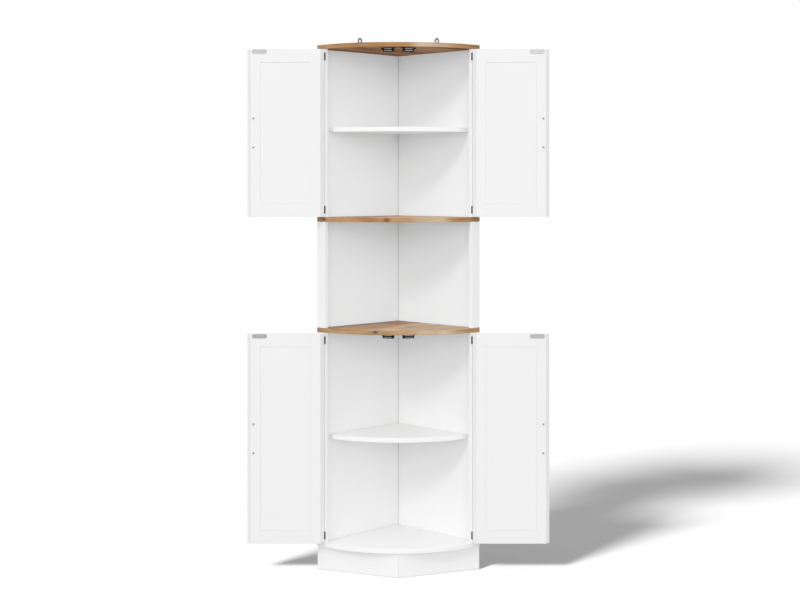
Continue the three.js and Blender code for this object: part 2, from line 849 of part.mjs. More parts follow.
const cupboard = new THREE.Group();
cupboard.add(...buildBoards(), ...buildPlinth(), ...buildBrackets());
tiers.forEach((tier) => {
  Object.entries(sides).forEach(([word, side]) => {
    cupboard.add(...buildTierSide(tier, word, side));
  });
  if (tier.shelfHeight !== undefined) {
    cupboard.add(...buildDoorTier(tier));
  }
});

export default cupboard;
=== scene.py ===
"""Corner cupboard with oak-look quarter boards, white panels, framed doors and black fittings.

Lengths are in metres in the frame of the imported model: X to the right, Y to the back corner, Z up.
The doors stand open, square to the front.
"""

import json
import logging
import math
from dataclasses import dataclass, field, replace
from enum import Enum
from typing import Any, Callable, Iterable, Sequence, Union

import bpy
import numpy as np
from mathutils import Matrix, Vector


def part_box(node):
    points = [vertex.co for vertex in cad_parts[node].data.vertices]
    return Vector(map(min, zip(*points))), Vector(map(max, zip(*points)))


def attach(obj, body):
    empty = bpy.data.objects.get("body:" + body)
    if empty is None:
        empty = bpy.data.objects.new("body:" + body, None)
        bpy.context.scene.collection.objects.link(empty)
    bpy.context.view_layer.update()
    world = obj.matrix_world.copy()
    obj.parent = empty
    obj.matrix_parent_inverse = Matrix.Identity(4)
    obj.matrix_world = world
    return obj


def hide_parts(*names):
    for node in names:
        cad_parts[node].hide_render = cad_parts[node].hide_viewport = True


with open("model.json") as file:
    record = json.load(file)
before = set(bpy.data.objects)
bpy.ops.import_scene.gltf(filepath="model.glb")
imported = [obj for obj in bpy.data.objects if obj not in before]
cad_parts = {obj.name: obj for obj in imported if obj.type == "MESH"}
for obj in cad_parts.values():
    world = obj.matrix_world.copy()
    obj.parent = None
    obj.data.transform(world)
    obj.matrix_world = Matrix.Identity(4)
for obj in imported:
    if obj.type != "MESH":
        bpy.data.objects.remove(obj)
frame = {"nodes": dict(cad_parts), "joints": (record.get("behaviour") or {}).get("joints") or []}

LOG = logging.getLogger("cupboard")
Array = np.ndarray
Colour = tuple[float, float, float]
Span = tuple[float, float]
MM = 0.001
SAME_POINT = 0.0001 * MM
QUARTER = math.pi / 2
DIAGONAL = math.sqrt(0.5)
SHARP_ANGLE = math.radians(40)
FACE_START = 2.0


class Named(Enum):
    """A choice whose name is part of the names of nodes."""

    @property
    def word(self) -> str:
        """The choice's part of a node's name."""
        return self.name.lower()


class Side(Named):
    """Left or right for someone who faces the cupboard, with the sign of X."""

    LEFT = -1
    RIGHT = 1


class Tier(Named):
    """The three storeys of the case, each with the board that covers it."""

    LOWER = "counter_board"
    MIDDLE = "middle_board"
    UPPER = "top_board"


class Level(Named):
    """The low or the high hinge of a door."""

    LOW = 0
    HIGH = 1


DOOR_TIERS = (Tier.LOWER, Tier.UPPER)


@dataclass(frozen=True)
class Place:
    """A local frame: its origin and where its three axes point in the model."""

    origin: Sequence[float] = (0, 0, 0)
    axes: Sequence[Sequence[float]] = ((1, 0, 0), (0, 1, 0), (0, 0, 1))

    def to_model(self, points: Array) -> Array:
        """Local points in the model: the origin plus each coordinate times its axis."""
        return np.asarray(self.origin, float) + points @ np.asarray(self.axes, float)

    def moved(self, *shift: float) -> "Place":
        """The frame with its origin moved by a distance along each of its axes."""
        return Place(tuple(self.to_model(np.array(shift))), self.axes)

    def standing(self) -> "Place":
        """The frame with its second and third axes swapped."""
        return Place(self.origin, (self.axes[0], self.axes[2], self.axes[1]))


WORLD = Place()


def inset_rings(outline: Array, insets: Array) -> Array:
    """Moves a closed outline inward by several distances.

    An edge's normal is its direction turned by 90 degrees, to the side that the sign of the outline's area
    tells. Each corner moves along the mitre of its edges, the sum of both normals over one plus their dot
    product.

    Args:
        outline: Corners in order, shape (corners, 2).
        insets: How far each ring lies inside the outline.

    Returns:
        Rings of shape (insets, corners, 2).
    """
    following = np.roll(outline, -1, axis=0)
    edges = following - outline
    edges = edges / np.linalg.norm(edges, axis=1, keepdims=True)
    area = np.sum(outline[:, 0] * following[:, 1] - outline[:, 1] * following[:, 0])
    after = np.sign(area) * np.stack((-edges[:, 1], edges[:, 0]), axis=1)
    before = np.roll(after, 1, axis=0)
    mitre = (before + after) / (1 + np.sum(before * after, axis=1, keepdims=True))
    return outline + insets[:, None, None] * mitre


def raised(rings: Array, heights: Array) -> Array:
    """Flat rings, shape (rings, corners, 2), with one height for each ring as third coordinate."""
    level = np.broadcast_to(heights[:, None, None], rings.shape[:2] + (1,))
    return np.concatenate((rings, level), axis=2)


def circle(radius: float, points: int, centre: Sequence[float] = (0, 0)) -> Array:
    """Points at equal angles on a circle: the centre plus the radius times (cos, sin)."""
    angle = np.arange(points) * 2 * math.pi / points
    return np.asarray(centre) + radius * np.stack((np.cos(angle), np.sin(angle)), axis=1)


def rounded_box(width: float, depth: float, radius: float, steps: int = 5) -> Array:
    """Outline of a rectangle with round corners: a quarter circle about each corner's centre.

    Where two quarter circles meet, their common point is kept once.

    Args:
        width: Size along the first axis.
        depth: Size along the second axis.
        radius: Radius of the corners.
        steps: Segments of each corner.

    Returns:
        Points of shape (points, 2), centred on the origin.
    """
    start = np.arange(4)[:, None] * QUARTER
    angle = start + np.linspace(0, QUARTER, steps + 1)[None, :]
    across = np.array([1, -1, -1, 1])[:, None] * (width / 2 - radius)
    along = np.array([1, 1, -1, -1])[:, None] * (depth / 2 - radius)
    corners = np.stack((across + radius * np.cos(angle), along + radius * np.sin(angle)), axis=2)
    points = corners.reshape(-1, 2)
    apart = np.linalg.norm(points - np.roll(points, 1, axis=0), axis=1)
    return points[apart > SAME_POINT]


def box_outline(low: Sequence[float], high: Sequence[float]) -> Array:
    """The four corners of a rectangle between its lowest and its highest."""
    return np.array([(low[0], low[1]), (high[0], low[1]), (high[0], high[1]), (low[0], high[1])], float)


def rod(radius: float, low: float, high: float, bevel: Span) -> list[Span]:
    """Profile of a rod between two heights, whose ends have a bevel of a width and a height."""
    narrow = radius - bevel[0]
    return [(narrow, low), (radius, low + bevel[1]), (radius, high - bevel[1]), (narrow, high)]


def signed_volume(points: Array, faces: Sequence[Array]) -> float:
    """Volume inside faces that point outward: a sixth of the sum of a . (b x c) over each face's fan.

    Args:
        points: Corners of all the faces, shape (points, 3).
        faces: Arrays of faces, each with one number of corners.

    Returns:
        The volume, which is negative where the faces point inward.
    """
    total = 0.0
    for rows in faces:
        first = points[rows[:, 0]][:, None, :]
        fans = np.cross(points[rows[:, 1:-1]], points[rows[:, 2:]])
        total += float(np.sum(first * fans))
    return total / 6


def add_object(name: str, data: bpy.types.ID) -> bpy.types.Object:
    """Makes an object in the scene.

    Args:
        name: The object's name.
        data: Its mesh, lamp or camera.

    Returns:
        The new object.
    """
    made = bpy.data.objects.new(name, data)
    bpy.context.scene.collection.objects.link(made)
    return made


@dataclass
class Piece:
    """Closed surfaces, worked out as arrays, that become one mesh."""

    name: str
    points: list[Array] = field(default_factory=list)
    faces: list[Array] = field(default_factory=list)

    def stack(self, rings: Array, place: Place = WORLD, round_hole: bool = False) -> "Piece":
        """Adds a form of rings, each joined to the next one, with its faces turned outward.

        Args:
            rings: Rings of shape (rings, corners, 3).
            place: The frame that the rings are given in.
            round_hole: Whether the last ring is joined to the first. Otherwise a flat face closes each end.

        Returns:
            The piece itself.
        """
        rows, corners = rings.shape[:2]
        index = np.arange(rows * corners).reshape(rows, corners)
        after = np.roll(index, -1, axis=1)
        walls = np.stack((index, after, np.roll(after, -1, axis=0), np.roll(index, -1, axis=0)), axis=2)
        if round_hole:
            faces = [walls.reshape(-1, 4)]
        else:
            faces = [walls[:-1].reshape(-1, 4), index[:1, ::-1], index[-1:]]
        points = place.to_model(rings.reshape(-1, 3))
        order = 1 if signed_volume(points, faces) > 0 else -1
        count = sum(map(len, self.points))
        self.faces += [block[:, ::order] + count for block in faces]
        self.points.append(points)
        return self

    def slab(self, outline: Array, low: float, high: float, ease: float,
             place: Place = WORLD, steps: int = 3) -> "Piece":
        """Adds a slab over an outline, with round edges.

        At turn t from 0 to 90 degrees a ring lies ease (1 - sin t) inside and ease (1 - cos t) off its face.

        Args:
            outline: Corners in order, shape (corners, 2).
            low: Height of the lower face.
            high: Height of the upper face.
            ease: Radius of the edges.
            place: The frame that the slab is given in.
            steps: Rings of a rounded edge, less one.

        Returns:
            The piece itself.
        """
        turn = np.linspace(0, QUARTER, steps + 1)
        inset = ease * (1 - np.sin(turn))
        rise = ease * (1 - np.cos(turn))
        rings = inset_rings(outline, np.concatenate((inset, inset[::-1])))
        return self.stack(raised(rings, np.concatenate((low + rise, high - rise[::-1]))), place)

    def turn(self, profile: Sequence[Span], sides: int, place: Place) -> "Piece":
        """Adds a turned form: the circle of each profile point's radius, at its height."""
        radius, height = np.asarray(profile, float).T
        return self.stack(raised(radius[:, None, None] * circle(1.0, sides), height), place)

    def make(self, finish: "Finish", body: str, *replaced: str) -> bpy.types.Object:
        """Makes the mesh object, dresses it and sets it on its body.

        Args:
            finish: The finish that it wears.
            body: The body that it rides on.
            *replaced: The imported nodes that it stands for.

        Returns:
            The new object.
        """
        mesh = bpy.data.meshes.new(self.name)
        rows = [face for block in self.faces for face in block.tolist()]
        mesh.from_pydata(np.concatenate(self.points), [], rows)
        mesh.polygons.foreach_set("use_smooth", np.ones(len(rows), bool))
        mesh.set_sharp_from_angle(angle=SHARP_ANGLE)
        mesh.materials.append(finish.material())
        made = add_object(self.name, mesh)
        even = made.modifiers.new("Even shading", "WEIGHTED_NORMAL")
        even.keep_sharp = True
        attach(made, body)
        if replaced:
            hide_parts(*replaced)
        LOG.info("%s rides on %s", self.name, body)
        return made


Operand = Union["Wire", float]


def arithmetic(operation: str) -> tuple[Callable[..., "Wire"], Callable[..., "Wire"]]:
    """A wire's operator and its reflected form, which both add one Math node.

    Args:
        operation: The node's operation.

    Returns:
        The operator for a wire on the left, and the one for a number on the left.
    """
    def plain(wire: "Wire", other: Operand) -> "Wire":
        """The operation on the wire and the other."""
        return wire.graph.math(operation, wire, other)

    def reflected(wire: "Wire", other: float) -> "Wire":
        """The operation on the number and the wire."""
        return wire.graph.math(operation, other, wire)

    return plain, reflected


@dataclass(frozen=True)
class Wire:
    """A value in a shader, with arithmetic that adds Math nodes."""

    graph: "Graph"
    socket: bpy.types.NodeSocket

    __add__, __radd__ = arithmetic("ADD")
    __sub__, __rsub__ = arithmetic("SUBTRACT")
    __mul__, __rmul__ = arithmetic("MULTIPLY")
    __truediv__, __rtruediv__ = arithmetic("DIVIDE")
    __pow__, __rpow__ = arithmetic("POWER")

    def fold(self, span: float) -> "Wire":
        """The value run to and fro between zero and a span."""
        return self.graph.math("PINGPONG", self, span)

    def above(self, low: float, high: float) -> "Wire":
        """A smooth step: zero below low, one above high."""
        inputs = {"Value": self, "From Min": low, "From Max": high}
        return self.graph.node("MapRange", inputs, interpolation_type="SMOOTHSTEP")

    def below(self, low: float, high: float) -> "Wire":
        """A smooth step down: one below low, zero above high."""
        return 1.0 - self.above(low, high)


def distance(*values: Wire) -> Wire:
    """The root of the sum of the values' squares."""
    return sum((value * value for value in values), 0.0) ** 0.5


@dataclass(frozen=True)
class Noise:
    """A noise: its waves per metre on each axis, its further octaves, their roughness and its start."""

    waves: tuple[float, float, float]
    octaves: float
    rough: float = 0.5
    start: float = 0.0


class Graph:
    """The node tree of one material, with one method that makes any node."""

    def __init__(self, tree: bpy.types.NodeTree) -> None:
        """Empties the tree of a material or of the world and keeps it."""
        self.tree = tree
        self.tree.nodes.clear()

    def node(self, kind: str, inputs: dict[Any, Any], out: Union[int, str] = 0, **settings: Any) -> Wire:
        """Makes one node: first its settings, then the values and links of its sockets.

        Args:
            kind: The node's type, without the ShaderNode in front.
            inputs: Values or wires by the socket's name or number.
            out: The output that is handed back, where the node has any.
            **settings: Attributes of the node. A ramp's stops are pairs of position and colour.

        Returns:
            The chosen output.
        """
        made = self.tree.nodes.new(f"ShaderNode{kind}")
        for name, value in settings.items():
            if name == "stops":
                self._set_stops(made.color_ramp, value)
            else:
                setattr(made, name, value)
        for name, value in inputs.items():
            if isinstance(value, Wire):
                self.tree.links.new(value.socket, made.inputs[name])
            else:
                made.inputs[name].default_value = value
        return Wire(self, made.outputs[out] if made.outputs else None)

    @staticmethod
    def _set_stops(ramp: bpy.types.ColorRamp, stops: Sequence[tuple[float, Colour]]) -> None:
        """Gives a colour ramp its stops.

        Args:
            ramp: The ramp.
            stops: Pairs of position and colour.
        """
        while len(ramp.elements) < len(stops):
            ramp.elements.new(1.0)
        for element, (position, colour) in zip(ramp.elements, stops):
            element.position = position
            element.color = (*colour, 1.0)

    def math(self, operation: str, *operands: Operand) -> Wire:
        """One Math node over its operands."""
        return self.node("Math", dict(enumerate(operands)), operation=operation)

    def part(self, vector: Wire, axis: str) -> Wire:
        """A vector's part on the axis X, Y or Z."""
        return self.node("SeparateXYZ", {"Vector": vector}, out=axis)

    def place(self) -> Wire:
        """The place on the object as a vector."""
        return self.node("TexCoord", {}, out="Object")

    def ray(self, kind: str) -> Wire:
        """One for rays of a kind, such as Camera or Diffuse, and zero for all others."""
        return self.node("LightPath", {}, out=f"Is {kind} Ray")

    def noise(self, noise: Noise, vector: Wire, cut: float = 0.0) -> Wire:
        """A noise from zero to one at a vector, in one cut through the pattern."""
        place = {"Vector": vector, "Scale": noise.waves, "Location": (noise.start, 0, cut)}
        inputs = {"Scale": 1.0, "Detail": noise.octaves, "Roughness": noise.rough}
        return self.node("TexNoise", {"Vector": self.node("Mapping", place), **inputs})

    def mix(self, share: Operand, *colours: Union[Wire, Colour]) -> Wire:
        """The mix of two colours by the share of the second."""
        first, second = (colour if isinstance(colour, Wire) else (*colour, 1.0) for colour in colours)
        return self.node("Mix", {0: share, 6: first, 7: second}, out=2, data_type="RGBA")

    def bump(self, height: Wire, relief: float, strength: float) -> Wire:
        """A normal bent by a height, with a relief in metres for a height of one."""
        return self.node("Bump", {"Height": height, "Distance": relief, "Strength": strength})

    def surface(self, **inputs: Any) -> None:
        """Ends the graph in a Principled surface, with underscores for spaces in its sockets' names."""
        named = {name.replace("_", " "): value for name, value in inputs.items()}
        self.node("OutputMaterial", {"Surface": self.node("BsdfPrincipled", named)})


@dataclass(frozen=True)
class Finish:
    """A finish: its material slot and how its surface is drawn."""

    slot: str
    title: str

    def material(self) -> bpy.types.Material:
        """Makes the material at its first use and hands the same one back later.

        Returns:
            The material.
        """
        made = bpy.data.materials.get(self.title)
        if made is None:
            made = bpy.data.materials.new(self.title)
            made.use_nodes = True
            self.draw(Graph(made.node_tree))
        return made

    def draw(self, graph: Graph) -> None:
        """Draws the surface into a graph."""
        raise NotImplementedError


@dataclass(frozen=True)
class Knot:
    """A knot in the oak: where it lies on the grain map, its two radii, and its zones as shares of them."""

    along: float
    across: float
    length: float
    width: float
    heart: Span = (0.4, 1.2)
    heart_share: float = 0.55
    halo: Span = (0.5, 2.6)
    halo_share: float = 0.38
    swell: Span = (0.8, 3.4)

    def draw(self, along: Wire, across: Wire) -> tuple[Wire, Wire]:
        """Draws the knot's dark heart with its halo, and the swell of the grain round it.

        The knot's reach is the root of the squares of both distances, each over its own radius.

        Args:
            along: The place along the grain.
            across: The place across it.

        Returns:
            The knot's mask and the swell, both from zero to one.
        """
        reach = distance((along - self.along) / self.length, (across - self.across) / self.width)
        mask = reach.below(*self.heart) * self.heart_share + reach.below(*self.halo) * self.halo_share
        return mask, reach.below(*self.swell)


@dataclass(frozen=True)
class Wood:
    """The tones of one kind of wood, from its dark to its light streaks."""

    dark: Colour
    middle: Colour
    light: Colour

    def tone(self, graph: Graph, level: Wire) -> Wire:
        """The wood's colour at a level from zero to one."""
        stops = [(0.20, self.dark), (0.50, self.middle), (0.80, self.light)]
        return graph.node("ValToRGB", {"Fac": level}, stops=stops)


HEARTWOOD = Wood(dark=(0.300, 0.146, 0.064), middle=(0.470, 0.262, 0.122), light=(0.575, 0.355, 0.185))
YELLOW_WOOD = Wood(dark=(0.330, 0.185, 0.085), middle=(0.490, 0.310, 0.158), light=(0.590, 0.400, 0.225))
RED_WOOD = Wood(dark=(0.270, 0.112, 0.044), middle=(0.530, 0.262, 0.104), light=(0.660, 0.390, 0.195))
# A darker copy of the face wood for the top board's faces, seen from below: painted shade over the wood's own
# streaks.
SHADED_FACE_WOOD = Wood(dark=(0.185, 0.086, 0.050), middle=(0.362, 0.190, 0.106), light=(0.500, 0.290, 0.175))
SAPWOOD = Wood(dark=(0.430, 0.275, 0.165), middle=(0.600, 0.435, 0.290), light=(0.690, 0.535, 0.390))


@dataclass(frozen=True)
class OakFinish(Finish):
    """Oak-look foil: long streaks, bands of pale and darker wood, fine pores and a few knots, with painted
    shade along the walls and, in part, at the tips of the edge.

    The grain map's first axis runs along the grain and its second across it, in metres. On the faces the
    second starts at FACE_START, and on the edge bands it runs from zero down to minus the thickness. A span
    is where a smooth step starts and where it is complete, on the map or in a noise's level.
    """

    slot: str = "oak_board"
    title: str = "oak"
    cut: float = 0.0
    knots: tuple[Knot, ...] = ()
    thickness: float = 15 * MM
    band_span: Span = (0.9, 1.1)
    heart: Wood = HEARTWOOD
    face_heart: Wood = RED_WOOD
    sap: Wood = SAPWOOD
    knot_tone: Colour = (0.260, 0.105, 0.036)
    vein_tone: Colour = (0.260, 0.140, 0.075)
    bounce: Colour = (0.74, 0.74, 0.74)
    gloss: float = 0.10
    relief: float = 0.03 * MM
    drift: Noise = Noise((2.2, 5.0, 1.0), 2.0)
    tone: Noise = Noise((1.0, 13.0, 1.0), 3.0, 0.58)
    figure: Noise = Noise((1.3, 15.0, 1.0), 1.0, 0.58)
    streaks: Noise = Noise((7.0, 230.0, 1.0), 4.0, 0.58)
    veins: Noise = Noise((3.1, 34.0, 1.0), 3.0, 0.58, start=7.0)
    pores: Noise = Noise((55.0, 1500.0, 1.0), 2.0, 0.58)
    drift_bend: float = 0.035
    drift_pale: Span = (0.09, 0.10)
    knot_bend: float = 0.004
    face_waves: float = 2.4
    edge_waves: float = 9.4
    rings: float = 16.0
    line_span: Span = (0.05, 0.95)
    line_share: float = 0.14
    vein_span: Span = (0.58, 0.72)
    vein_share: float = 0.42
    pore_span: Span = (0.60, 0.72)
    pore_share: float = 0.20
    face_pale: float = 0.75
    face_pale_span: Span = (FACE_START + 0.120, FACE_START + 0.200)
    pale_start: Span = (0.025, 0.085)
    pale_end: Span = (0.150, 0.200)
    arris: Span = (0.9 * MM, 0.1 * MM)
    arris_share: float = 0.26
    tip_span: Span = (0.236, 0.280)
    left_tip: float = 0.42
    right_tip: float = 0.42
    left_start: float = 0.050
    left_reach: float = 0.080
    left_foot: float = 0.97
    right_span: Span = (0.025, 0.070)
    right_foot: float = 0.0
    bare_above: float = 9.0

    def draw(self, graph: Graph) -> None:
        """Draws the wood.

        Args:
            graph: The material's graph.
        """
        grain = graph.node("UVMap", {}, uv_map="grain")
        along = graph.part(grain, "X")
        across = graph.part(grain, "Y")
        edge = across.below(*self.band_span)
        knots = [knot.draw(along, across) for knot in self.knots]
        mark = sum((mask for mask, _ in knots), 0.0)
        swell = sum((bend for _, bend in knots), 0.0)
        drift = graph.noise(self.drift, grain, self.cut) - 0.5
        bent = across + drift * self.drift_bend + swell * self.knot_bend
        quick = along * (edge * (self.edge_waves - self.face_waves) + self.face_waves)
        tone = graph.noise(self.tone, graph.node("CombineXYZ", {"X": quick, "Y": bent}), self.cut)
        place = graph.node("CombineXYZ", {"X": along, "Y": bent})
        figure = graph.noise(self.figure, place, self.cut)
        lines = (figure * self.rings).fold(1.0).above(*self.line_span)
        streaks = graph.noise(self.streaks, place, self.cut)
        veins = graph.noise(self.veins, place, self.cut).above(*self.vein_span)
        pores = graph.noise(self.pores, place, self.cut).above(*self.pore_span)
        level = 0.5 + (tone - 0.5) * (1.5 - edge * 0.6) + (streaks - 0.5) * (1.5 - edge * 0.4)
        level = level + (lines - 0.5) * self.line_share
        wander = [drift * reach for reach in self.drift_pale]
        pale = self._pale_share(along + wander[0], across + wander[1], edge)
        heart = graph.mix(edge, self.face_heart.tone(graph, level), self.heart.tone(graph, level))
        wood = graph.mix(pale, heart, self.sap.tone(graph, level))
        wood = graph.mix(veins * self.vein_share, wood, self.vein_tone)
        wood = graph.mix(pores * self.pore_share, wood, self.heart.dark)
        # Painted shade along the walls and, in part, at the tips, with the darker arrises, all in the vein
        # tone.
        wood = graph.mix(self._dark_share(graph, along, across, edge), wood, self.vein_tone)
        wood = graph.mix(mark, wood, self.knot_tone)
        wood = graph.mix(graph.ray("Diffuse"), wood, self.bounce)
        rough = 0.46 + pores * 0.12 - lines * 0.04 + mark * 0.08
        height = lines * 0.25 + streaks * 0.4 - pores
        graph.surface(Base_Color=wood, Roughness=rough, Normal=graph.bump(height, self.relief, 0.5),
                      Specular_IOR_Level=self.gloss)

    def _pale_share(self, along: Wire, across: Wire, edge: Wire) -> Wire:
        """How much of the wood is pale: right of the middle on the edge, and off the left wall on the faces.

        Args:
            along: The grain map's first axis.
            across: Its second axis.
            edge: One on the edge bands and zero on the faces.

        Returns:
            The share of sapwood.
        """
        on_edge = along.above(*self.pale_start) * along.below(*self.pale_end)
        on_face = across.above(*self.face_pale_span) * self.face_pale
        return on_edge * edge + on_face * (1.0 - edge)

    def _dark_share(self, graph: Graph, along: Wire, across: Wire, edge: Wire) -> Wire:
        """How much darker the board gets: at the tips and arrises of its edge, and along the walls. Along the
        walls this is painted shade, the post's shadow and the shade in the joint; at the tips it is partly
        painted shade from the open doors.

        On the faces the map's first axis is the distance off the right wall. A face above the height
        bare_above carries no wall and stays even.

        Args:
            graph: The material's graph.
            along: The grain map's first axis.
            across: Its second axis.
            edge: One on the edge bands and zero on the faces.

        Returns:
            The share of the darker tone, which is painted shade in part.
        """
        middle = self.thickness / 2
        arris = distance(across + middle).above(*(middle - start for start in self.arris))
        arris = arris * self.arris_share
        # Partly painted shade: the open doors shade the tips of the edge.
        right_tip = along.above(*self.tip_span) * self.right_tip
        left_tip = (along * -1.0).above(*self.tip_span) * self.left_tip
        # Painted shade along the walls: the post's shadow and the shade in the joint.
        left_foot = across.below(FACE_START + self.left_start, FACE_START + self.left_reach) * self.left_foot
        right_foot = along.below(*self.right_span) * self.right_foot
        under = graph.part(graph.place(), "Z").below(self.bare_above - 1 * MM, self.bare_above)
        return (arris + left_tip + right_tip) * edge + (left_foot + right_foot) * (1.0 - edge) * under


@dataclass(frozen=True)
class WhiteFinish(Finish):
    """White coated board: a fine pebbled sheen with faint clouds in colour and gloss."""

    slot: str = "white_board"
    title: str = "white coated board"
    colour: Colour = (0.938, 0.938, 0.937)
    shade: Colour = (0.922, 0.922, 0.920)
    dust: Colour = (0.10, 0.10, 0.10)
    clouds: Noise = Noise((7.0,) * 3, 3.0)
    cloud_span: Span = (0.35, 0.75)
    cloud_share: float = 0.5
    wipe: Noise = Noise((3.0, 3.0, 14.0), 3.0)
    pebbles: Noise = Noise((900.0,) * 3, 1.0)
    relief: float = 0.03 * MM
    rough: float = 0.42
    cloud_rough: float = 0.10
    wipe_rough: float = 0.06
    gloss: float = 0.35

    def draw(self, graph: Graph) -> None:
        """Draws the coat.

        Args:
            graph: The material's graph.
        """
        place = graph.place()
        clouds = graph.noise(self.clouds, place)
        colour = graph.mix(clouds.above(*self.cloud_span) * self.cloud_share, self.colour, self.shade)
        # Painted shade: a dark tone where a kind of board puts it, in the inner corner of the case and at the
        # foot of the plinth.
        colour = graph.mix(self._dust_share(graph, place), colour, self.dust)
        rough = self.rough + clouds * self.cloud_rough + graph.noise(self.wipe, place) * self.wipe_rough
        normal = graph.bump(graph.noise(self.pebbles, place), self.relief, 0.5)
        graph.surface(Base_Color=colour, Roughness=rough, Normal=normal, Specular_IOR_Level=self.gloss)

    def _dust_share(self, graph: Graph, place: Wire) -> Operand:
        """The share of painted shade at a place, which is none on the plain coat."""
        return 0.0


@dataclass(frozen=True)
class WallFinish(WhiteFinish):
    """The white coat of the wall panels, with a thin line of painted shade in the inner corner of the case.

    The painted shade lies about the upright line where both inner faces meet, at x = 0 and y = corner_y.
    """

    title: str = "white wall board"
    corner_y: float = 171.29 * MM
    reach: Span = (1.1 * MM, 2.0 * MM)
    most: float = 0.30

    def _dust_share(self, graph: Graph, place: Wire) -> Operand:
        """The share of painted shade: most on the corner line, none beyond its rise."""
        away = distance(graph.part(place, "X"), graph.part(place, "Y") - self.corner_y)
        return away.below(*self.reach) * self.most


@dataclass(frozen=True)
class PlinthFinish(WhiteFinish):
    """The white coat of the plinth's front boards, with painted shade just above the floor."""

    title: str = "white plinth board"
    rise: Span = (0.0, 4.5 * MM)
    most: float = 0.24

    def _dust_share(self, graph: Graph, place: Wire) -> Operand:
        """The share of painted shade: most on the floor, none above its rise."""
        return graph.part(place, "Z").below(*self.rise) * self.most


@dataclass(frozen=True)
class FittingFinish(Finish):
    """A fitting's coat, plastic or metal: a fine grain in relief and gloss, and patches in colour and gloss.

    The cloud noise makes the patches, where it passes the patch span. Its own level can change the gloss too.
    """

    colour: Colour
    patch_colour: Colour
    grain: Noise
    cloud: Noise
    patch_span: Span
    patch_share: float
    rough: float
    grain_rough: float
    cloud_rough: float = 0.0
    patch_rough: float = 0.0
    metallic: float = 0.0
    gloss: float = 0.5
    relief: float = 0.03 * MM
    relief_strength: float = 0.6

    def draw(self, graph: Graph) -> None:
        """Draws the surface.

        Args:
            graph: The material's graph.
        """
        place = graph.place()
        grain = graph.noise(self.grain, place)
        cloud = graph.noise(self.cloud, place)
        patch = cloud.above(*self.patch_span)
        colour = graph.mix(patch * self.patch_share, self.colour, self.patch_colour)
        rough = self.rough + grain * self.grain_rough + cloud * self.cloud_rough + patch * self.patch_rough
        normal = graph.bump(grain, self.relief, self.relief_strength)
        graph.surface(Base_Color=colour, Roughness=rough, Metallic=self.metallic, Normal=normal,
                      Specular_IOR_Level=self.gloss)


COUNTER_OAK = OakFinish(
    title="counter oak", cut=0.0, heart=YELLOW_WOOD, left_tip=0.25, right_tip=0.25,
    knot_tone=(0.150, 0.062, 0.022),
    knots=(Knot(along=-0.0762, across=-0.0052, length=0.0085, width=0.0046),
           Knot(along=0.150, across=FACE_START + 0.205, length=0.012, width=0.007)),
)
MIDDLE_OAK = OakFinish(
    title="middle oak", cut=3.7,
    knots=(Knot(along=-0.0385, across=-0.0085, length=0.0100, width=0.0100),
           Knot(along=-0.2690, across=-0.0080, length=0.0065, width=0.0070)),
)
# The top board's faces take the darker face wood and more shade along both walls: painted shade.
TOP_OAK = OakFinish(
    title="top oak", cut=8.2, face_heart=SHADED_FACE_WOOD, face_pale=0.0, right_foot=0.40, left_reach=0.095,
    gloss=0.0, bare_above=1.750, left_tip=0.05, right_tip=0.65,
    knots=(Knot(along=0.090, across=FACE_START + 0.120, length=0.011, width=0.008),),
)
WHITE = WhiteFinish()
# A darker copy of the white coat for the doors: painted shade that dims the doors, which catch more light
# than the inside of the case.
SHADED_DOOR_WHITE = WhiteFinish(
    title="white door lacquer", colour=(0.872, 0.872, 0.871), shade=(0.857, 0.857, 0.855),
)
WALL_WHITE = WallFinish()
PLINTH_WHITE = PlinthFinish()
BLACK = FittingFinish(
    "black_metal", "black powder coat", colour=(0.006, 0.006, 0.007), patch_colour=(0.018, 0.017, 0.017),
    grain=Noise((2600.0,) * 3, 2.0), cloud=Noise((160.0,) * 3, 4.0, 0.7), patch_span=(0.56, 0.78),
    patch_share=0.6, rough=0.46, grain_rough=0.16, patch_rough=0.08, gloss=0.05,
)
PLASTIC = FittingFinish(
    "black_plastic", "black plastic", colour=(0.005, 0.005, 0.006), patch_colour=(0.012, 0.012, 0.013),
    grain=Noise((3800.0,) * 3, 2.0, 0.6), cloud=Noise((120.0,) * 3, 3.0), patch_span=(0.4, 0.8),
    patch_share=1.0, rough=0.50, grain_rough=0.20, gloss=0.25, relief_strength=0.7,
)
STEEL = FittingFinish(
    "steel", "zinc-plated steel", colour=(0.480, 0.483, 0.488), patch_colour=(0.400, 0.403, 0.408),
    grain=Noise((60.0, 60.0, 5200.0), 2.0), cloud=Noise((210.0,) * 3, 3.0), patch_span=(0.35, 0.8),
    patch_share=0.7, rough=0.26, grain_rough=0.16, cloud_rough=0.10, metallic=0.9, relief=0.02 * MM,
)
POLE_STEEL = replace(
    STEEL, title="pole steel", colour=(0.520, 0.523, 0.528), patch_colour=(0.440, 0.443, 0.448), rough=0.06,
)
# A darker copy of the steel: the brackets' finish, and painted shade on the left strike plate.
DARKER_STEEL = replace(
    STEEL, title="dull zinc-plated steel", colour=(0.420, 0.423, 0.430), patch_colour=(0.320, 0.323, 0.330),
)


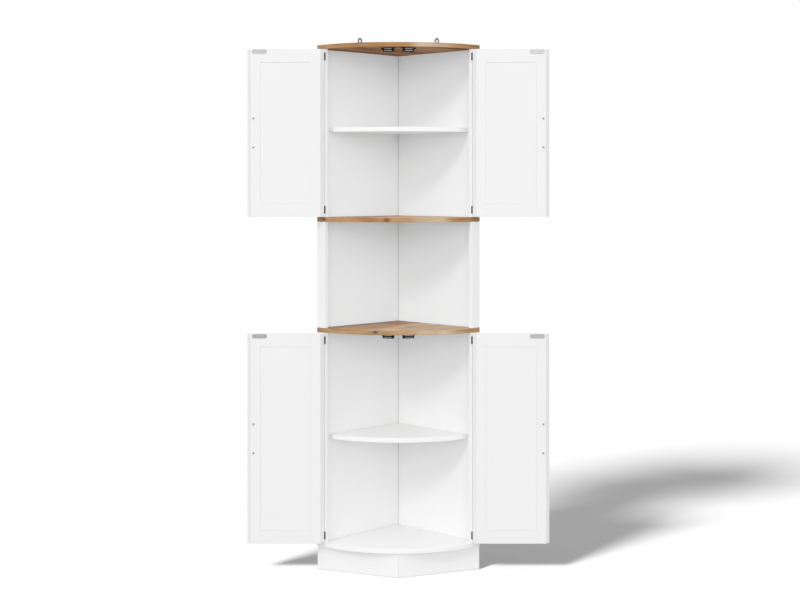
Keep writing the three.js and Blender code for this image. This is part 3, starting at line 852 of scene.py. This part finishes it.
@dataclass(frozen=True)
class Screw:
    """A pan-head screw with a cross recess, whose arm, reach and depth are shares of the head."""

    radius: float = 2.4 * MM
    height: float = 0.9 * MM
    rim: float = 0.62
    arm: float = 0.17
    flank_start: float = 1.35
    flank_width: float = 0.5
    reach: float = 0.62
    reach_edge: float = 0.08
    depth: float = 0.75
    sides: int = 32

    def rings(self) -> Array:
        """Rings of the head, from its seat up and in to the middle of the recess.

        The crown's height falls with the square of the distance from the middle. The cross takes a share
        of it away where a point lies within an arm's half width of either axis and within its reach.

        Returns:
            Rings of shape (rings, sides, 3), with the seat at height zero.
        """
        shares = np.array([1.0, 1.0, 0.96, 0.88, 0.76, 0.64, 0.56, 0.44, 0.30, 0.16, 0.05])
        flat = shares[:, None, None] * circle(1.0, self.sides)
        crown = self.rim + (1 - self.rim) * (1 - shares ** 2)
        crown[0] = 0.0
        near = np.min(np.abs(flat), axis=2)
        far = np.max(np.abs(flat), axis=2)
        cross = np.clip((self.arm * self.flank_start - near) / (self.arm * self.flank_width), 0, 1)
        cross = cross * np.clip((self.reach - far) / self.reach_edge, 0, 1)
        height = crown[:, None] * (1 - self.depth * cross)
        return np.concatenate((flat * self.radius, (height * self.height)[:, :, None]), axis=2)


@dataclass
class Plan:
    """The case in plan: its back corner and the reach of its boards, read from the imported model."""

    ease: float = 1.0 * MM

    def __post_init__(self) -> None:
        """Reads the corner and the reach from the top board."""
        low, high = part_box("top_board")
        self.corner = high.y
        self.reach = high.y - low.y

    def place(self, side: Side, z: float = 0.0) -> Place:
        """Frame of a wall at a height: along it from the back corner, inward from its outer face, and up."""
        x = side.value * DIAGONAL
        return Place((0, self.corner, z), ((x, -DIAGONAL, 0), (-x, -DIAGONAL, 0), (0, 0, 1)))

    def point(self, side: Side, along: float, inward: float) -> Array:
        """A point in plan, given along a wall and inward from its outer face."""
        return self.place(side).to_model(np.array([along, inward, 0.0]))[:2]

    def arc(self, centre_y: float, tip: Sequence[float], points: int = 121) -> Array:
        """A front arc from the right tip to the left one, about a centre on the middle plane.

        The point at angle t is the centre plus the radius times (cos t, sin t).

        Args:
            centre_y: Y of the centre.
            tip: The right tip.
            points: How many points.

        Returns:
            Points of shape (points, 2).
        """
        radius = math.hypot(tip[0], tip[1] - centre_y)
        first = math.atan2(tip[1] - centre_y, tip[0])
        angle = np.linspace(first, -math.pi - first, points)
        return np.stack((radius * np.cos(angle), centre_y + radius * np.sin(angle)), axis=1)


def read(rows: Any, name: str, width: int, kind: type) -> Array:
    """Reads an attribute of a mesh's rows.

    Args:
        rows: The mesh's vertices, faces or face corners.
        name: The attribute.
        width: Numbers in each row.
        kind: Their type.

    Returns:
        Values of shape (rows, width).
    """
    values = np.zeros(len(rows) * width, kind)
    rows.foreach_get(name, values)
    return values.reshape(-1, width)


@dataclass
class Board:
    """A quarter-circle board of the case, whose round and straight edges have their own parts of the map."""

    node: str
    plan: Plan
    finish: Finish
    straight_start: float = 1.0
    flat_cosine: float = 0.99
    back_cosine: float = 0.3

    def build(self) -> None:
        """Makes the board over its exact outline, with round edges and a grain map."""
        low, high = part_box(self.node)
        tip = self.plan.point(Side.RIGHT, self.plan.reach, 0)
        outline = np.vstack(((0, self.plan.corner), self.plan.arc(self.plan.corner, tip)))
        piece = Piece(f"{self.node}_round").slab(outline, low.z, high.z, self.plan.ease)
        self._map_grain(piece.make(self.finish, "case", self.node).data, high.z)

    def _map_grain(self, mesh: bpy.types.Mesh, top: float) -> None:
        """Lays the grain along the left wall on both faces, and along the edge on the edges.

        On the faces the map is the distance along the left wall and the distance off it. On the round edge
        its first axis is the angle from the front times the radius, and on the straight edges the distance
        from the corner past straight_start, and the second axis is the height under the upper face.

        Args:
            mesh: The board's mesh.
            top: Height of the upper face.
        """
        ends = read(mesh.loops, "vertex_index", 1, np.int32).ravel()
        x, y, z = read(mesh.vertices, "co", 3, np.float32)[ends].T
        totals = read(mesh.polygons, "loop_total", 1, np.int32).ravel()
        facing = np.repeat(read(mesh.polygons, "normal", 3, np.float32), totals, axis=0)
        behind = self.plan.corner - y
        round_edge = np.arctan2(x, behind) * self.plan.reach
        straight = np.hypot(x, behind) + self.straight_start
        bands = np.where(facing[:, 1] > self.back_cosine, straight, round_edge)
        flat = np.abs(facing[:, 2]) > self.flat_cosine
        along = np.where(flat, (behind - x) * DIAGONAL, bands)
        across = np.where(flat, (behind + x) * DIAGONAL + FACE_START, z - top)
        layer = mesh.uv_layers.new(name="grain")
        layer.data.foreach_set("uv", np.stack((along, across), axis=1).astype(np.float32).ravel())


@dataclass
class Shelf:
    """A fixed shelf with a round front and tips square to the walls."""

    tier: Tier
    plan: Plan
    tip_along: float = 345 * MM
    setback: float = 47 * MM
    seat: float = 15.3 * MM

    def build(self) -> None:
        """Makes the shelf over its exact outline, with round edges."""
        node = f"{self.tier.word}_shelf"
        low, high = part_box(node)
        plan = self.plan
        set_off = self.setback * DIAGONAL
        inward = math.sqrt(plan.reach ** 2 - (self.tip_along + set_off) ** 2) - set_off
        outline = np.vstack((
            plan.point(Side.RIGHT, self.seat, self.seat),
            plan.point(Side.RIGHT, self.tip_along, self.seat),
            plan.arc(plan.corner + self.setback, plan.point(Side.RIGHT, self.tip_along, inward)),
            plan.point(Side.LEFT, self.tip_along, self.seat),
        ))
        Piece(f"{node}_round").slab(outline, low.z, high.z, plan.ease).make(WHITE, "case", node)


@dataclass
class DoorFrame:
    """Frame of an open door: from its hinge axis to the free edge, from the outer face inward, and up."""

    tier: Tier
    side: Side

    def __post_init__(self) -> None:
        """Reads the hinge axis, the lean of the closed door and the door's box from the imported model."""
        self.name = f"{self.tier.word}_{self.side.word}"
        self.body = f"{self.name}_door"
        joint = next(row for row in frame["joints"] if row["name"] == f"{self.body}_hinge")
        self.hinge = joint["pos_m"][:2]
        self.lean = math.radians(180 - max(joint["range_deg"]))
        low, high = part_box(f"{self.name}_door_frame")
        self.low = low.z
        self.height = high.z - low.z
        self.thickness = high.y - low.y
        self.reach = max(abs(low.x), abs(high.x)) - abs(self.hinge[0])

    def place(self, z: float = 0.0) -> Place:
        """The frame with its origin on the hinge axis, at a height above the door's lower end."""
        return Place((*self.hinge, self.low + z), ((self.side.value, 0, 0), (0, -1, 0), (0, 0, 1)))

    def upright(self, along: float, z: float, outward: bool = False) -> Place:
        """A frame on the door's inner face, or on its outer one: along the door, up it, and off the face."""
        origin = self.place(z).moved(along, 0.0 if outward else self.thickness, 0.0).origin
        return Place(origin, ((self.side.value, 0, 0), (0, 0, 1), (0, 1 if outward else -1, 0)))


@dataclass
class DoorLeaf:
    """A framed door: two stiles, two rails and a panel in a rabbet."""

    at: DoorFrame
    frame_width: float = 44 * MM
    lap: float = 8 * MM
    hinge_gap: float = 2 * MM
    square_edge: float = 2.5 * MM
    panel_thickness: float = 6 * MM
    panel_recess: float = 1 * MM
    gap: float = 0.15 * MM
    panel_gap: float = 0.2 * MM
    ease: float = 0.45 * MM
    steps: int = 2

    def build(self) -> None:
        """Makes the stiles, the rails and the panel. The free stile is the hinge stile's mirror image."""
        at = self.at
        stile = self._stile()
        mirrored = np.array([self.hinge_gap + at.reach, 0]) + stile * (-1, 1)
        for name, outline in (("hinge_stile", stile), ("free_stile", mirrored)):
            piece = Piece(f"{at.name}_{name}")
            piece.slab(outline, 0, at.height, self.ease, at.place(), self.steps)
            piece.make(SHADED_DOOR_WHITE, at.body, f"{at.name}_door_frame")
        near = self.hinge_gap + self.frame_width
        far = at.reach - self.frame_width
        self._build_rails(near, far)
        self._build_panel(near, far)

    @property
    def rabbet(self) -> float:
        """Depth of the rabbet's floor from the outer face."""
        return self.at.thickness - self.panel_recess - self.panel_thickness

    def _stile(self) -> Array:
        """Section of the stile on the hinge side, seen from above.

        Returns:
            Corners of shape (corners, 2).
        """
        start, deep = self.hinge_gap, self.at.thickness
        slope = deep - self.square_edge
        inner = start + self.frame_width
        return np.array([
            (start, 0), (inner + self.lap, 0), (inner + self.lap, self.rabbet), (inner, self.rabbet),
            (inner, deep), (start + slope, deep), (start, self.square_edge),
        ])

    def _build_rails(self, near: float, far: float) -> None:
        """Makes both rails of two layers, the outer one wider by the lap.

        Args:
            near: Where the hinge stile's inner face ends.
            far: Where the free stile's inner face starts.
        """
        at = self.at
        for name, edge, step in (("bottom_rail", 0.0, 1), ("top_rail", at.height, -1)):
            piece = Piece(f"{at.name}_{name}")
            for lap, front, back in ((self.lap, 0.0, self.rabbet), (0.0, self.rabbet, at.thickness)):
                low, high = sorted((edge, edge + step * (self.frame_width + lap)))
                outline = box_outline((near + lap + self.gap, front), (far - lap - self.gap, back))
                piece.slab(outline, low, high, self.ease, at.place(), self.steps)
            piece.make(SHADED_DOOR_WHITE, at.body)

    def _build_panel(self, near: float, far: float) -> None:
        """Makes the panel, which lies in the rabbet just under the inner face.

        Args:
            near: Where the hinge stile's inner face ends.
            far: Where the free stile's inner face starts.
        """
        at = self.at
        clear = self.panel_gap
        outline = box_outline((near + clear, self.rabbet), (far - clear, self.rabbet + self.panel_thickness))
        low, high = self.frame_width + clear, at.height - self.frame_width - clear
        piece = Piece(f"{at.name}_panel").slab(outline, low, high, self.ease, at.place(), self.steps)
        piece.make(SHADED_DOOR_WHITE, at.body, f"{at.name}_door_panel")


@dataclass
class BarHandle:
    """A round bar handle on two feet, with its two screws on the door's inner face."""

    at: DoorFrame
    edge_distance: float = 21 * MM
    pitch: float = 96 * MM
    length: float = 136 * MM
    radius: float = 5 * MM
    round_end: float = 1.6 * MM
    standoff: float = 28 * MM
    foot: float = 4 * MM
    flare: float = 1.6 * MM
    flare_rise: float = 8 * MM
    foot_gap: float = 0.3 * MM
    foot_lap: float = 1 * MM
    bar_sides: int = 40
    foot_sides: int = 32
    screw: Screw = Screw(radius=3.6 * MM, height=1.8 * MM)

    def build(self) -> None:
        """Makes the bar with its feet, and the screw heads."""
        at = self.at
        along = at.reach - self.edge_distance
        middle = at.height / 2
        axis = Place(at.place(middle - self.length / 2).moved(along, -self.standoff, 0.0).origin)
        piece = Piece(f"{at.name}_bar_handle").turn(self._bar(), self.bar_sides, axis)
        heads = Piece(f"{at.name}_handle_screws")
        for z in (middle - self.pitch / 2, middle + self.pitch / 2):
            piece.turn(self._foot(), self.foot_sides, at.upright(along, z, outward=True))
            heads.stack(self.screw.rings(), at.upright(along, z))
        piece.make(BLACK, at.body, f"{at.name}_handle")
        heads.make(STEEL, at.body)

    def _bar(self) -> Array:
        """Profile of the bar: round at both ends, by the circle's sine and cosine.

        Returns:
            Pairs of radius and height.
        """
        turn = np.linspace(0, QUARTER, 7)
        radius = self.radius - self.round_end + self.round_end * np.sin(turn)
        height = self.round_end * (1 - np.cos(turn))
        return np.stack((np.r_[radius, radius[::-1]], np.r_[height, self.length - height[::-1]]), axis=1)

    def _foot(self) -> Array:
        """Profile of a foot: a flared base that narrows to the neck and runs into the bar.

        The flare's radius falls with the cube of the height left above the door.

        Returns:
            Pairs of radius and height.
        """
        rise = np.linspace(0, 1, 9)
        radius = self.foot + self.flare * (1 - rise) ** 3
        height = self.foot_gap + rise * self.flare_rise
        return np.vstack((np.stack((radius, height), axis=1), (self.foot, self.standoff - self.foot_lap)))


@dataclass
class Hinge:
    """A small butt hinge: three knuckles on a pin, and two leaves with two screws each."""

    at: DoorFrame
    level: Level
    length: float = 25 * MM
    inset: float = 11 * MM
    barrel: float = 2.5 * MM
    barrel_bevel: Span = (0.35 * MM, 0.35 * MM)
    barrel_sides: int = 32
    pin: float = 1.2 * MM
    pin_bevel: Span = (0.3 * MM, 0.2 * MM)
    pin_sides: int = 20
    clearance: float = 0.3 * MM
    thickness: float = 1 * MM
    ease: float = 0.2 * MM
    corner: float = 2 * MM
    start: float = 4.4 * MM
    end: float = 15 * MM
    tongue_start: float = 0.6 * MM
    tongue_lap: float = 1 * MM
    tongue_ease: float = 0.15 * MM
    screw_place: float = 10 * MM
    screw_inset: float = 6 * MM
    screw: Screw = Screw(height=0.495 * MM)

    def build(self) -> None:
        """Makes both leaves with their knuckles and screws."""
        at = self.at
        low = self.inset if self.level is Level.LOW else at.height - self.inset - self.length
        title = f"{at.name}_{self.level.word}_hinge"
        third = self.length / 3
        half = self.clearance / 2
        ends = ((0.0, third - half), (2 * third + half, self.length))
        middle = ((third + half, 2 * third - half),)
        origin = at.place(low).origin
        door = Place(origin, ((at.side.value, 0, 0), (0, 1, 0), (0, 0, 1)))
        x = at.side.value * DIAGONAL
        post = Place(origin, ((x, DIAGONAL, 0), (x, -DIAGONAL, 0), (0, 0, 1)))
        shaft = rod(self.pin, 0.0, self.length, self.pin_bevel)
        pin = Piece(f"{title}_post_side").turn(shaft, self.pin_sides, post)
        self._leaf(pin, post, ends).make(BLACK, "case", f"{title}_post_leaf")
        self._leaf(Piece(f"{title}_door_side"), door, middle).make(BLACK, at.body, f"{title}_door_leaf")

    def _leaf(self, piece: Piece, place: Place, spans: Iterable[Span]) -> Piece:
        """Adds one leaf: its plate, tongues, knuckles and screws.

        Args:
            piece: The piece to add to.
            place: The leaf's frame: away from the pin on the face, off the face, and up.
            spans: Lowest and highest height of each knuckle.

        Returns:
            The piece itself.
        """
        face = place.standing()
        seat = self.clearance + self.thickness
        plate = rounded_box(self.end - self.start, self.length, self.corner)
        centre = np.array([(self.start + self.end) / 2, self.length / 2])
        piece.slab(plate + centre, self.clearance, seat, self.ease, face, 2)
        for low, high in spans:
            tongue = box_outline((self.tongue_start, low), (self.start + self.tongue_lap, high))
            piece.slab(tongue, self.clearance, seat, self.tongue_ease, face, 1)
            piece.turn(rod(self.barrel, low, high, self.barrel_bevel), self.barrel_sides, place)
        for z in (self.screw_inset, self.length - self.screw_inset):
            piece.stack(self.screw.rings(), face.moved(self.screw_place, z, seat))
        return piece


@dataclass
class StrikePlate:
    """The plate that the catch holds: round ends, softened edges and two screws."""

    at: DoorFrame
    edge_distance: float = 41 * MM
    length: float = 49 * MM
    width: float = 13.8 * MM
    thickness: float = 1 * MM
    ease: float = 0.3 * MM
    top_inset: float = 1.6 * MM
    clearance: float = 0.3 * MM
    screw_pitch: float = 30 * MM
    end_steps: int = 16
    screw: Screw = Screw(radius=2.6 * MM, height=0.28 * MM)

    def build(self) -> None:
        """Makes the plate and its screw heads."""
        at = self.at
        place = at.upright(at.reach - self.edge_distance, at.height - self.top_inset - self.width / 2)
        outline = rounded_box(self.length, self.width, self.width / 2, self.end_steps)
        seat = self.clearance + self.thickness
        piece = Piece(f"{at.name}_strike").slab(outline, self.clearance, seat, self.ease, place)
        for along in (-self.screw_pitch / 2, self.screw_pitch / 2):
            piece.stack(self.screw.rings(), place.moved(along, 0.0, seat))
        # The left plate takes the darker steel: painted shade on a plate like the right one.
        finish = DARKER_STEEL if at.side is Side.LEFT else STEEL
        piece.make(finish, at.body, f"{at.name}_strike_plate")


@dataclass
class Catch:
    """A double magnetic catch under a board: a moulded housing with ears, two pole strips and two screws."""

    at: DoorFrame
    width: float = 36.8 * MM
    depth: float = 14 * MM
    height: float = 13.5 * MM
    corner: float = 1.6 * MM
    body_ease: float = 1.1 * MM
    ear_span: float = 51 * MM
    ear_thickness: float = 2.6 * MM
    ear_corner: float = 3.5 * MM
    ear_ease: float = 0.5 * MM
    apron: float = 3 * MM
    pole_length: float = 27 * MM
    pole_height: float = 2 * MM
    pole_depth: float = 2 * MM
    pole_proud: float = 0.5 * MM
    pole_spacing: float = 6 * MM
    pole_lift: float = 0.3 * MM
    pole_ease: float = 0.3 * MM
    edge_distance: float = 41 * MM
    front: float = 17.1 * MM
    clearance: float = 0.3 * MM
    screw: Screw = Screw(radius=2.6 * MM, height=1.2 * MM)

    def build(self) -> None:
        """Makes the housing, the pole strips and the screws."""
        place = self._place()
        title = f"{self.at.name}_catch"
        top = -self.clearance
        seat = top - self.ear_thickness
        middle = np.array([0, self.depth / 2])
        body = rounded_box(self.width, self.depth, self.corner) + middle
        ears = rounded_box(self.ear_span, self.depth, self.ear_corner) + middle
        housing = Piece(f"{title}_housing").slab(body, top - self.height, top, self.body_ease, place)
        housing.slab(ears, seat, top, self.ear_ease, place)
        housing.slab(self._apron_outline(top), 0, self.apron, self.ear_ease, place.standing(), 2)
        housing.make(PLASTIC, "case", title)
        strips = Piece(f"{title}_pole_strips")
        level = top - self.height / 2 + self.pole_lift
        half = self.pole_height / 2
        end = self.pole_length / 2
        strip = box_outline((-end, -self.pole_proud), (end, self.pole_depth))
        for z in (level - self.pole_spacing / 2, level + self.pole_spacing / 2):
            strips.slab(strip, z - half, z + half, self.pole_ease, place)
        for side in Side:
            across = side.value * (self.width + self.ear_span) / 4
            origin = place.moved(across, self.depth / 2, seat).origin
            strips.stack(self.screw.rings(), Place(origin, (*place.axes[:2], (0, 0, -1))))
        strips.make(POLE_STEEL, "case")

    @staticmethod
    def _apron_outline(top: float) -> Array:
        """Outline of the front apron, which slopes from the ears in to the body and rounds off below.

        Args:
            top: Height of its upper edge.

        Returns:
            Pairs of place across and height.
        """
        halves = np.array([25.5, 25.5, 25.0, 23.0, 21.2, 20.2, 19.2, 18.6, 18.4, 18.4, 17.9, 16.9, 15.8]) * MM
        drops = np.array([0.0, 2.0, 2.6, 3.1, 4.0, 5.2, 6.4, 7.6, 9.0, 11.4, 12.6, 13.3, 13.5]) * MM
        right = np.stack((halves, top - drops), axis=1)
        return np.concatenate((right, right[::-1] * (-1, 1)))

    def _place(self) -> Place:
        """The catch's frame: along the closed door's face, away from the door, and up.

        Returns:
            The frame, with its origin under the board that covers the tier.
        """
        side = self.at.side.value
        cos, sin = math.cos(self.at.lean), math.sin(self.at.lean)
        along = self.at.reach - self.edge_distance
        x = abs(self.at.hinge[0]) - along * cos - self.front * sin
        y = self.at.hinge[1] - along * sin + self.front * cos
        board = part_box(self.at.tier.value)[0].z
        return Place((side * x, y, board), ((-side * cos, -sin, 0), (-side * sin, cos, 0), (0, 0, 1)))


@dataclass
class WallBracket:
    """A bent steel bracket: a foot on the top board, a round bend and a leg with a hole at the wall."""

    side: Side
    plan: Plan
    along: float = 188 * MM
    width: float = 22 * MM
    thickness: float = 1.5 * MM
    edge: float = 0.25 * MM
    rise: float = 39 * MM
    foot: float = 25 * MM
    bend: float = 1.2 * MM
    hole: float = 4 * MM
    hole_drop: float = 12 * MM
    sink: float = 0.9 * MM
    sink_depth: float = 0.8 * MM
    clearance: float = 0.3 * MM
    points: int = 96
    screw: Screw = Screw(radius=4 * MM, height=1.7 * MM)

    def build(self) -> None:
        """Makes the bracket with its screw."""
        place = self.plan.place(self.side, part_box("top_board")[1].z).moved(self.along, 0.0, 0.0)
        piece = Piece(f"{self.side.word}_bracket")
        piece.stack(self._leg(), place.standing(), round_hole=True)
        piece.stack(self._foot_and_bend(), place)
        middle = (self.foot + self.thickness) / 2
        piece.stack(self.screw.rings(), place.moved(0.0, middle, self.clearance + self.thickness))
        piece.make(DARKER_STEEL, "case", f"{self.side.word}_wall_bracket")

    def _leg(self) -> Array:
        """Rings of the leg round its hole: hole edge, inner face, rim, outer face and back to the hole.

        The rim's point at an angle is where that ray from the hole meets the leg's outline: the straight
        sides and foot, or the half circle on top, whichever the ray meets first.

        Returns:
            Rings of shape (rings, points, 3).
        """
        half = self.width / 2
        low = self.clearance + self.thickness + self.bend
        centre = self.rise - self.hole_drop
        ray = circle(1.0, self.points)
        with np.errstate(divide="ignore"):
            to_side = half / np.abs(ray[:, 0])
            to_foot = np.where(ray[:, 1] < 0, (low - centre) / ray[:, 1], np.inf)
        lift = centre - (self.rise - half)
        to_round = -ray[:, 1] * lift + np.sqrt((ray[:, 1] * lift) ** 2 - lift ** 2 + half ** 2)
        reach = np.where(ray[:, 1] * to_side + lift > 0, to_round, np.minimum(to_side, to_foot))
        rim = ray * reach[:, None] + (0, centre)
        inner = rim - ray * self.edge
        hole = circle(self.hole, self.points, (0, centre))
        sink = circle(self.hole + self.sink, self.points, (0, centre))
        deep = self.thickness
        heights = np.array([deep - self.sink_depth, deep, deep, deep - self.edge, self.edge, 0.0, 0.0])
        return raised(np.stack((hole, sink, inner, rim, rim, inner, hole)), heights)

    def _foot_and_bend(self) -> Array:
        """The foot and the bend: a flat bar's section carried along a line with one round corner.

        Each side of the bar turns a quarter circle about the bend's centre, the outer one by the thickness
        more.

        Returns:
            Rings of shape (stations, 4, 3), from the foot's end to the leg.
        """
        turn = np.linspace(0, QUARTER, 9)
        centre = self.thickness + self.bend
        lines = []
        for radius in (centre, self.bend):
            run = np.r_[self.foot, centre - radius * np.sin(turn)]
            rise = self.clearance + centre - radius * np.cos(np.r_[0.0, turn])
            lines.append(np.stack((run, rise), axis=1))
        rows = np.stack((lines[0], lines[0], lines[1], lines[1]), axis=1)
        across = self.width / 2 * np.array([-1, 1, 1, -1])
        sides = np.broadcast_to(across[None, :, None], rows.shape[:2] + (1,))
        return np.concatenate((sides, rows), axis=2)


@dataclass
class PlinthFront:
    """One of the two front boards of the plinth, which meet at an angle on the middle plane."""

    side: Side
    plan: Plan
    angle: float = math.pi / 8
    recess: float = 2 * MM
    thickness: float = 15 * MM
    half_gap: float = 0.15 * MM
    top_gap: float = 0.3 * MM
    ease: float = 0.8 * MM

    def build(self) -> None:
        """Makes the board over its exact outline, with round edges."""
        node = f"plinth_front_{self.side.word}"
        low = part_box(node)[0].z
        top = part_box("bottom_board")[0].z - self.top_gap
        side, sin, cos = self.side.value, math.sin(self.angle), math.cos(self.angle)
        apex = self.plan.corner - self.plan.reach + self.recess
        face = Place((0, apex, 0), ((side * cos, sin, 0), (-side * sin, cos, 0), (0, 0, 1)))
        inward = np.array([0.0, self.thickness])
        mitre = (self.half_gap + inward * sin) / cos
        end = (self.plan.corner - apex - inward * (cos - sin)) / (cos + sin)
        outline = np.array([(mitre[0], 0), (end[0], 0), (end[1], self.thickness), (mitre[1], self.thickness)])
        Piece(f"{node}_board").slab(outline, low, top, self.ease, face).make(PLINTH_WHITE, "case", node)


@dataclass
class Case:
    """The fixed part of the cupboard: boards, shelves, walls, posts, plinth, catches and brackets."""

    plan: Plan
    doors: Sequence[DoorFrame]

    def build(self) -> None:
        """Makes the case's pieces and dresses the nodes that stay."""
        Board("bottom_board", self.plan, WHITE).build()
        for tier, finish in zip(Tier, (COUNTER_OAK, MIDDLE_OAK, TOP_OAK)):
            Board(tier.value, self.plan, finish).build()
        for tier in DOOR_TIERS:
            Shelf(tier, self.plan).build()
        for door in self.doors:
            Catch(door).build()
        for side in Side:
            WallBracket(side, self.plan).build()
            PlinthFront(side, self.plan).build()
            dress(f"plinth_back_{side.word}", WHITE)
            for tier in Tier:
                dress(f"{tier.word}_{side.word}_wall", WALL_WHITE)
                dress(f"{tier.word}_{side.word}_post", WHITE)


@dataclass
class Door:
    """A door with everything that swings with it, and the hinges that hold it."""

    at: DoorFrame

    def build(self) -> None:
        """Makes the leaf, the handle, the strike plate and both hinges."""
        DoorLeaf(self.at).build()
        BarHandle(self.at).build()
        StrikePlate(self.at).build()
        for level in Level:
            Hinge(self.at, level).build()


def dress(node: str, finish: Finish) -> None:
    """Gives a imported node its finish.

    Args:
        node: The node's name.
        finish: The finish that it wears.
    """
    mesh = frame["nodes"][node].data
    mesh.materials.clear()
    mesh.materials.append(finish.material())
    LOG.info("%s wears %s", node, finish.slot)


class Lights(Enum):
    """What a lamp lights: the cupboard, or the floor alone."""

    CUPBOARD = "EXCLUDE"
    FLOOR = "INCLUDE"


@dataclass(frozen=True)
class Lamp:
    """A far, soft light: degrees to the left, above the floor and across, and its strength."""

    name: str
    left: float
    rise: float
    width: float
    strength: float
    lights: Lights = Lights.CUPBOARD

    def build(self, floor: bpy.types.Object) -> None:
        """Makes the lamp and links it to what it lights.

        Args:
            floor: The floor.
        """
        lamp = bpy.data.lights.new(self.name, "SUN")
        lamp.energy = self.strength
        lamp.angle = math.radians(self.width)
        light = add_object(self.name, lamp)
        light.rotation_euler = (math.radians(90 - self.rise), 0, -math.radians(self.left))
        receivers = bpy.data.collections.new(f"{self.name}_receivers")
        receivers.objects.link(floor)
        receivers.collection_objects[0].light_linking.link_state = self.lights.value
        light.light_linking.receiver_collection = receivers


LAMPS = (
    Lamp("key", left=39, rise=36.5, width=11, strength=0.46),
    Lamp("left_box", left=52, rise=6, width=44, strength=0.15),
    Lamp("right_box", left=-52, rise=6, width=44, strength=0.33),
    Lamp("front_box", left=0, rise=4, width=50, strength=0.94),
    Lamp("ceiling", left=0, rise=80, width=80, strength=0.85),
    Lamp("floor_key", left=39, rise=36.5, width=13, strength=5.50, lights=Lights.FLOOR),
)


@dataclass(frozen=True)
class Stage:
    """The floor, the lights and the camera."""

    floor_reach: float = 30.0
    floor_seen: float = 0.61
    floor_bounce: float = 0.352
    sky: float = 0.62
    camera_place: tuple[float, float, float] = (0.0, -4.980, 1.285)
    lens: float = 65.8
    shift: tuple[float, float] = (0.002, -0.1425)

    def build(self) -> None:
        """Makes the whole stage."""
        floor = self._build_floor()
        self._build_world()
        for lamp in LAMPS:
            lamp.build(floor)
        self._build_camera()
        bpy.context.scene.view_settings.view_transform = "Standard"

    def _build_floor(self) -> bpy.types.Object:
        """Makes the pale floor, which the camera sees in one tone and the cupboard in a softer one.

        Returns:
            The floor.
        """
        reach = self.floor_reach
        outline = box_outline((-reach, -reach), (reach, reach))
        mesh = bpy.data.meshes.new("floor")
        mesh.from_pydata(raised(outline[None], np.zeros(1))[0], [], [(0, 1, 2, 3)])
        material = bpy.data.materials.new("floor")
        material.use_nodes = True
        graph = Graph(material.node_tree)
        tone = graph.mix(graph.ray("Camera"), (self.floor_bounce,) * 3, (self.floor_seen,) * 3)
        graph.surface(Base_Color=tone, Roughness=0.9, Specular_IOR_Level=0.0)
        mesh.materials.append(material)
        floor = add_object("floor", mesh)
        return floor

    def _build_world(self) -> None:
        """Makes an even sky that the camera sees as white."""
        world = bpy.data.worlds.new("studio")
        world.use_nodes = True
        bpy.context.scene.world = world
        graph = Graph(world.node_tree)
        strength = self.sky + graph.ray("Camera") * (1.0 - self.sky)
        sky = graph.node("Background", {"Color": (1, 1, 1, 1), "Strength": strength})
        graph.node("OutputWorld", {"Surface": sky})

    def _build_camera(self) -> None:
        """Makes the camera, level and square to the front."""
        lens = bpy.data.cameras.new("camera")
        lens.lens = self.lens
        lens.shift_x, lens.shift_y = self.shift
        camera = add_object("camera", lens)
        camera.location = self.camera_place
        camera.rotation_euler = (QUARTER, 0, 0)
        bpy.context.scene.camera = camera


def corners(box: Sequence[Sequence[float]]) -> list[list[float]]:
    """Both corners of a box as plain lists."""
    return [[float(value) for value in corner] for corner in box]


def main() -> None:
    """Builds the cupboard and its stage."""
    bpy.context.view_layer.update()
    plan = Plan()
    doors = [DoorFrame(tier, side) for tier in DOOR_TIERS for side in Side]
    Case(plan, doors).build()
    for door in doors:
        Door(door).build()
        LOG.info("%s door built", door.name)
    Stage().build()


if __name__ == "__main__":
    logging.basicConfig(level=logging.INFO, format="%(message)s")
    main()
